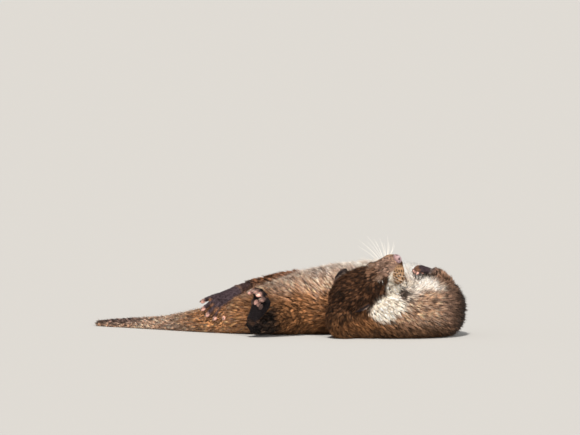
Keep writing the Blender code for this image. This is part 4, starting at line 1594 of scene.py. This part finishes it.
def tube(path: np.ndarray, radii: np.ndarray, sides: int) -> tuple[np.ndarray, np.ndarray]:
    """A closed round bar along a path.

    Args:
        path: Its middle line.
        radii: Its radius at each point of the line.
        sides: How many sides it has.

    Returns:
        Its points and its triangles.
    """
    way = unit(np.gradient(path, axis=0))
    side = unit(np.cross(way, np.array((0.31, 0.17, 0.93))))
    other = np.cross(way, side)
    turn = np.arange(sides) / sides * 2 * math.pi
    ring = side[:, None] * np.cos(turn)[:, None] + other[:, None] * np.sin(turn)[:, None]
    points = (path[:, None] + ring * radii[:, None, None]).reshape(-1, 3)
    faces = []
    for i in range(len(path) - 1):
        for k in range(sides):
            a, b = i * sides + k, i * sides + (k + 1) % sides
            faces += [(a, b, b + sides), (a, b + sides, a + sides)]
    last = len(points) - sides
    for k in range(1, sides - 1):
        faces += [(0, k + 1, k), (last, last + k, last + k + 1)]
    return points, np.array(faces)


def ellipsoid(middle: np.ndarray, axes: np.ndarray, radii: Triple, rings: int,
              sides: int) -> tuple[np.ndarray, np.ndarray]:
    """A closed ellipsoid.

    Args:
        middle: Its middle.
        axes: Its three unit axes, as rows.
        radii: Its radius along each.
        rings: How many rings of points it has between its poles.
        sides: How many points each ring has.

    Returns:
        Its points and its triangles.
    """
    rows = [(1.0, 0.0, 0.0)]
    for i in range(1, rings + 1):
        lean = math.pi * i / (rings + 1)
        out = math.sin(lean)
        for k in range(sides):
            turn = 2 * math.pi * k / sides
            rows.append((math.cos(lean), out * math.cos(turn), out * math.sin(turn)))
    rows.append((-1.0, 0.0, 0.0))
    end = len(rows) - 1
    faces = []
    for k in range(sides):
        m = (k + 1) % sides
        faces.append((0, 1 + k, 1 + m))
        for i in range(rings - 1):
            a, b = 1 + i * sides + k, 1 + i * sides + m
            faces += [(a, a + sides, b + sides), (a, b + sides, b)]
        faces.append((end, end - sides + m, end - sides + k))
    shape = np.array(rows) * np.array(radii)
    return np.array(middle) + shape @ np.asarray(axes), np.array(faces)


@dataclass
class Gatherer:
    """Joins many small closed forms into one piece."""

    name: str
    finish: Finish
    slot: Slot
    points: list[np.ndarray] = field(default_factory=list)
    triangles: list[np.ndarray] = field(default_factory=list)
    colours: list[np.ndarray] = field(default_factory=list)
    count: int = 0

    def add(self, form: tuple[np.ndarray, np.ndarray], colours: np.ndarray) -> None:
        """Takes in one form.

        Args:
            form: Its points and triangles.
            colours: One colour, or one for each point.
        """
        points, triangles = form
        self.points.append(points)
        self.triangles.append(triangles + self.count)
        self.colours.append(np.broadcast_to(colours, points.shape))
        self.count += len(points)

    def build(self, *nodes: str) -> None:
        """Makes the piece.

        Args:
            nodes: The nodes that it replaces.
        """
        mesh = mesh_from(self.name, np.concatenate(self.points), np.concatenate(self.triangles))
        bm = bmesh.new()
        bm.from_mesh(mesh)
        bmesh.ops.recalc_face_normals(bm, faces=bm.faces)
        bm.to_mesh(mesh)
        bm.free()
        paint(mesh, np.concatenate(self.colours))
        shade_smooth(mesh)
        mesh.materials.append(self.finish.material())
        settle(new_object(self.name, mesh), self.slot, *nodes)


@dataclass(frozen=True)
class Whisker:
    """One whisker: its side, angle from the crown in degrees, place ahead, lean forwards and size."""

    side: int
    angle: float
    ahead: float
    forth: float
    reach: float
    thick: float = 0.00026


@dataclass
class Trimmings:
    """Nose, eyes, whiskers, pads and claws."""

    head: Head
    skin: Skin
    feet: dict[str, Foot]
    nose_radii: Triple = (0.0074, 0.0104, 0.0080)
    nose_colour: Triple = (0.340, 0.235, 0.255)
    nose_top: Triple = (0.280, 0.165, 0.160)
    nostril_shade: Triple = (0.030, 0.014, 0.014)
    nose_groove: Triple = (0.110, 0.060, 0.060)
    whisker: Triple = (0.85, 0.81, 0.74)
    pad: Triple = (0.60, 0.33, 0.27)
    claw: Triple = (0.30, 0.215, 0.17)

    def nose(self) -> None:
        """The bare leather of the nose, with its two nostrils painted near-black as the shade inside
        them, and the groove between.
        """
        points, faces = ellipsoid(np.zeros(3), np.eye(3), self.nose_radii, rings=31, sides=48)
        ahead, aside, rise = points.T.copy()
        face = ease(ahead, -0.001, 0.003)
        square = 1.0 + 0.10 * np.cos(4 * np.arctan2(rise, aside) + math.pi) * face
        aside, rise = aside * square, rise * square
        pit = np.zeros(len(points))
        for side in SIDES:
            hole = np.hypot((aside - side * 0.0050) / 0.0027, (rise - 0.0036) / 0.0032)
            slot = np.hypot((aside - side * 0.0082) / 0.0030, (rise - 0.0018) / 0.0015)
            pit = np.maximum(pit, ease_off(np.minimum(hole, slot), 0.55, 1.15))
        pit = pit * face
        groove = bell(aside, 0.0006) * ease(-rise, -0.001, 0.003) * face
        ahead = ahead - 0.0030 * pit - 0.0009 * groove
        ahead = ahead - 0.0010 * ease(rise, 0.004, 0.0075) * face
        body = np.stack([ahead, aside, rise], axis=1)
        rows = np.tile(np.array(self.nose_colour), (len(points), 1))
        rows = mix(rows, self.nose_top, ease(rise, 0.004, 0.008))
        # Painted shade: the nostrils' pits near-black, as the openings' shade.
        rows = mix(rows, self.nostril_shade, pit)
        rows = mix(rows, self.nose_groove, groove * 0.8)
        piece = Gatherer("nose_leather", LEATHER_FINISH, Slot.NOSE_SKIN)
        piece.add((np.array(middle_of("nose")) + body @ self.head.axes(), faces), rows)
        piece.build("nose")

    def eyes(self) -> None:
        """The balls behind the closed lids."""
        material = EyeFinish().material()
        for side, name in EYES.items():
            low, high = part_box(name)
            make_active(None)
            bpy.ops.mesh.primitive_uv_sphere_add(segments=32, ring_count=20, radius=max(high - low) / 2)
            ball = bpy.context.object
            ball.name = f"{name}_ball"
            bpy.ops.object.shade_smooth()
            for vertex in ball.data.vertices:
                vertex.co += self.head.eyes[side]
            ball.data.materials.append(material)
            settle(ball, Slot.EYE, name)

    def whisker_places(self) -> list[Whisker]:
        """Three rows on each pad, and a few over each eye and on each cheek.

        Returns:
            The whiskers.
        """
        made = []
        for side in SIDES:
            right = side > 0
            for row, angle in enumerate((66, 88, 110)):
                for column, forth in enumerate((-0.05, 0.22, 0.50, 0.90, 1.50)[:4 - side]):
                    made.append(Whisker(
                        side, angle, ahead=0.0790 + 0.0060 * column + 0.0022 * (row % 2),
                        forth=forth + 0.10 * (row - 1) + 0.5 * right,
                        reach=0.054 - 0.0064 * column + (0.005 if row == 1 else 0.0),
                        thick=0.00032 - 0.00012 * right))
            for column in range(3):
                made.append(Whisker(side, 40 + 6 * column, 0.060 + 0.003 * column, 0.1, 0.024))
            for column in range(2):
                made.append(Whisker(side, 112 + 8 * column, 0.050 + 0.004 * column, 0.0, 0.026))
        return made

    def whiskers(self) -> None:
        """Long stiff white whiskers that leave the skin where a ray from outside meets it."""
        skin, head = self.skin, self.head
        chosen = head.local(skin.points[skin.triangles[:, 0]])[:, 0] > 0.030
        tree = BVHTree.FromPolygons([Vector(p) for p in skin.points],
                                    [tuple(int(i) for i in t) for t in skin.triangles[chosen]])
        rng = np.random.default_rng(SEED + 50)
        piece = Gatherer("whiskers", WHISKER_FINISH, Slot.WHISKER)
        steps = np.linspace(0.0, 1.0, 8)
        for hair in self.whisker_places():
            turn = math.radians(hair.angle + rng.uniform(-4, 4))
            out = head.way(0.0, hair.side * math.sin(turn), math.cos(turn))
            core = head.point(hair.ahead + rng.uniform(-0.001, 0.001), 0.0, -0.003)
            root = tree.ray_cast(core + out * 0.06, -out)[0]
            if root is None:
                continue
            forth = hair.forth + rng.uniform(-0.08, 0.08)
            way = (out + head.forward * forth + head.crown * 0.12).normalized()
            bend = (-head.forward * 0.8 + head.crown * rng.uniform(-0.2, 0.5)) * 0.20
            reach = hair.reach * rng.uniform(0.88, 1.10)
            if way.y + bend.y < -0.05:
                reach = min(reach, max((WHISKER_FRONT - root.y) / (way.y + bend.y), 0.008))
            path = np.array([root - way * 0.0012 + way * reach * t + bend * reach * t * t
                             for t in steps])
            path[:, 2] = np.maximum(path[:, 2], 0.001)
            piece.add(tube(path, hair.thick * (1.05 - 0.85 * steps), 5), np.array(self.whisker))
        piece.build("whisker_left_1", "whisker_left_2", "whisker_left_3",
                    "whisker_right_1", "whisker_right_2")

    def pads(self) -> None:
        """The bare pink pads under toes and soles."""
        piece = Gatherer("pads", PAD_FINISH, Slot.BARE_SKIN)
        for foot in self.feet.values():
            for (middle, way, sole, radii), share in zip(foot.pads(), foot.pinks):
                form = ellipsoid(np.array(middle), np.array([way, way.cross(sole), sole]), radii,
                                 rings=9, sides=16)
                piece.add(form, np.array(self.pad) * share)
        piece.build()

    def claws(self) -> None:
        """A short blunt claw on each toe."""
        piece = Gatherer("claws", HORN_FINISH, Slot.BARE_SKIN)
        sides = 8
        steps = np.linspace(0.0, 1.0, 7)
        for foot in self.feet.values():
            size = foot.half * 0.26
            for path, way, sole in foot.toes():
                start = path[3] - sole * foot.half * 0.11 + way * foot.half * 0.02
                line = np.array([start + way * size * t + sole * size * 0.42 * t * t for t in steps])
                line[:, 2] = np.maximum(line[:, 2], 0.002)
                radii = foot.half * 0.062 * np.sqrt(np.maximum(1.02 - steps ** 1.6, 0.012))
                shade = (0.35 + 0.65 * np.repeat(steps, sides))[:, None] * np.array(self.claw)
                piece.add(tube(line, radii, sides), shade)
        piece.build()

    def build(self) -> None:
        """Makes them all."""
        self.nose()
        self.eyes()
        self.whiskers()
        self.pads()
        self.claws()


# ---------------------------------------------------------------- the studio


@dataclass
class Studio:
    """Floor, light and camera."""

    elevation: float = math.radians(3.0)
    lens: float = 300.0
    sensor: float = 36.0
    view_width: float = 1.16
    aim_right: float = 0.0226
    aim_up: float = 0.2307
    floor_half: float = 400.0

    def floor(self) -> None:
        """A plain pale floor as far as the camera sees."""
        make_active(None)
        bpy.ops.mesh.primitive_plane_add(size=2 * self.floor_half, location=(0, 0, 0))
        floor = bpy.context.object
        floor.name = "floor"
        floor.data.materials.append(StageFinish().material())

    def camera(self) -> None:
        """A long lens low over the floor."""
        distance = self.lens / self.sensor * self.view_width
        up = Vector((0.0, math.sin(self.elevation), math.cos(self.elevation)))
        back = Vector((0.0, -math.cos(self.elevation), math.sin(self.elevation)))
        target = Vector((self.aim_right, 0.0, 0.0)) + up * self.aim_up
        data = bpy.data.cameras.new("camera")
        data.lens = self.lens
        data.sensor_width = self.sensor
        data.clip_end = 2000.0
        camera = bpy.data.objects.new("camera", data)
        camera.location = target + back * distance
        camera.rotation_euler = Euler((math.pi / 2 - self.elevation, 0.0, 0.0))
        bpy.context.scene.collection.objects.link(camera)
        bpy.context.scene.camera = camera

    def light(self) -> None:
        """A key from high in front, a softer fill from low on the camera's side and an even sky."""
        for name, energy, angle, way in (("key", 4.2, 7.0, (-0.10, -0.55, 0.83)),
                                         ("fill", 3.0, 20.0, (0.30, -0.90, 0.28))):
            data = bpy.data.lights.new(name, "SUN")
            data.energy = energy
            data.angle = math.radians(angle)
            data.color = (1.0, 0.95, 0.88)
            lamp = bpy.data.objects.new(name, data)
            lamp.rotation_euler = Vector(way).to_track_quat("Z", "Y").to_euler()
            bpy.context.scene.collection.objects.link(lamp)
        world = bpy.data.worlds.new("sky")
        world.use_nodes = True
        background = world.node_tree.nodes["Background"]
        background.inputs["Color"].default_value = (0.90, 0.94, 1.0, 1.0)
        background.inputs["Strength"].default_value = 0.30
        bpy.context.scene.world = world
        bpy.context.scene.view_settings.view_transform = "Standard"

    def build(self) -> None:
        """Sets up the whole studio."""
        self.floor()
        self.camera()
        self.light()


def main() -> None:
    """Builds every piece."""
    logging.basicConfig(level=logging.INFO, format="%(name)s %(relativeCreated)d %(message)s")
    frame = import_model()
    nodes = frame["nodes"]
    Studio().build()
    head = Head()
    feet = build_feet()
    face = Face(head)
    markings = Markings(head, face, feet)
    skin = Skin(head, face, feet)
    skin.build(nodes)
    skin.finish(markings)
    Coat(skin, markings).build()
    Trimmings(head, skin, feet).build()


if __name__ == "__main__":
    main()
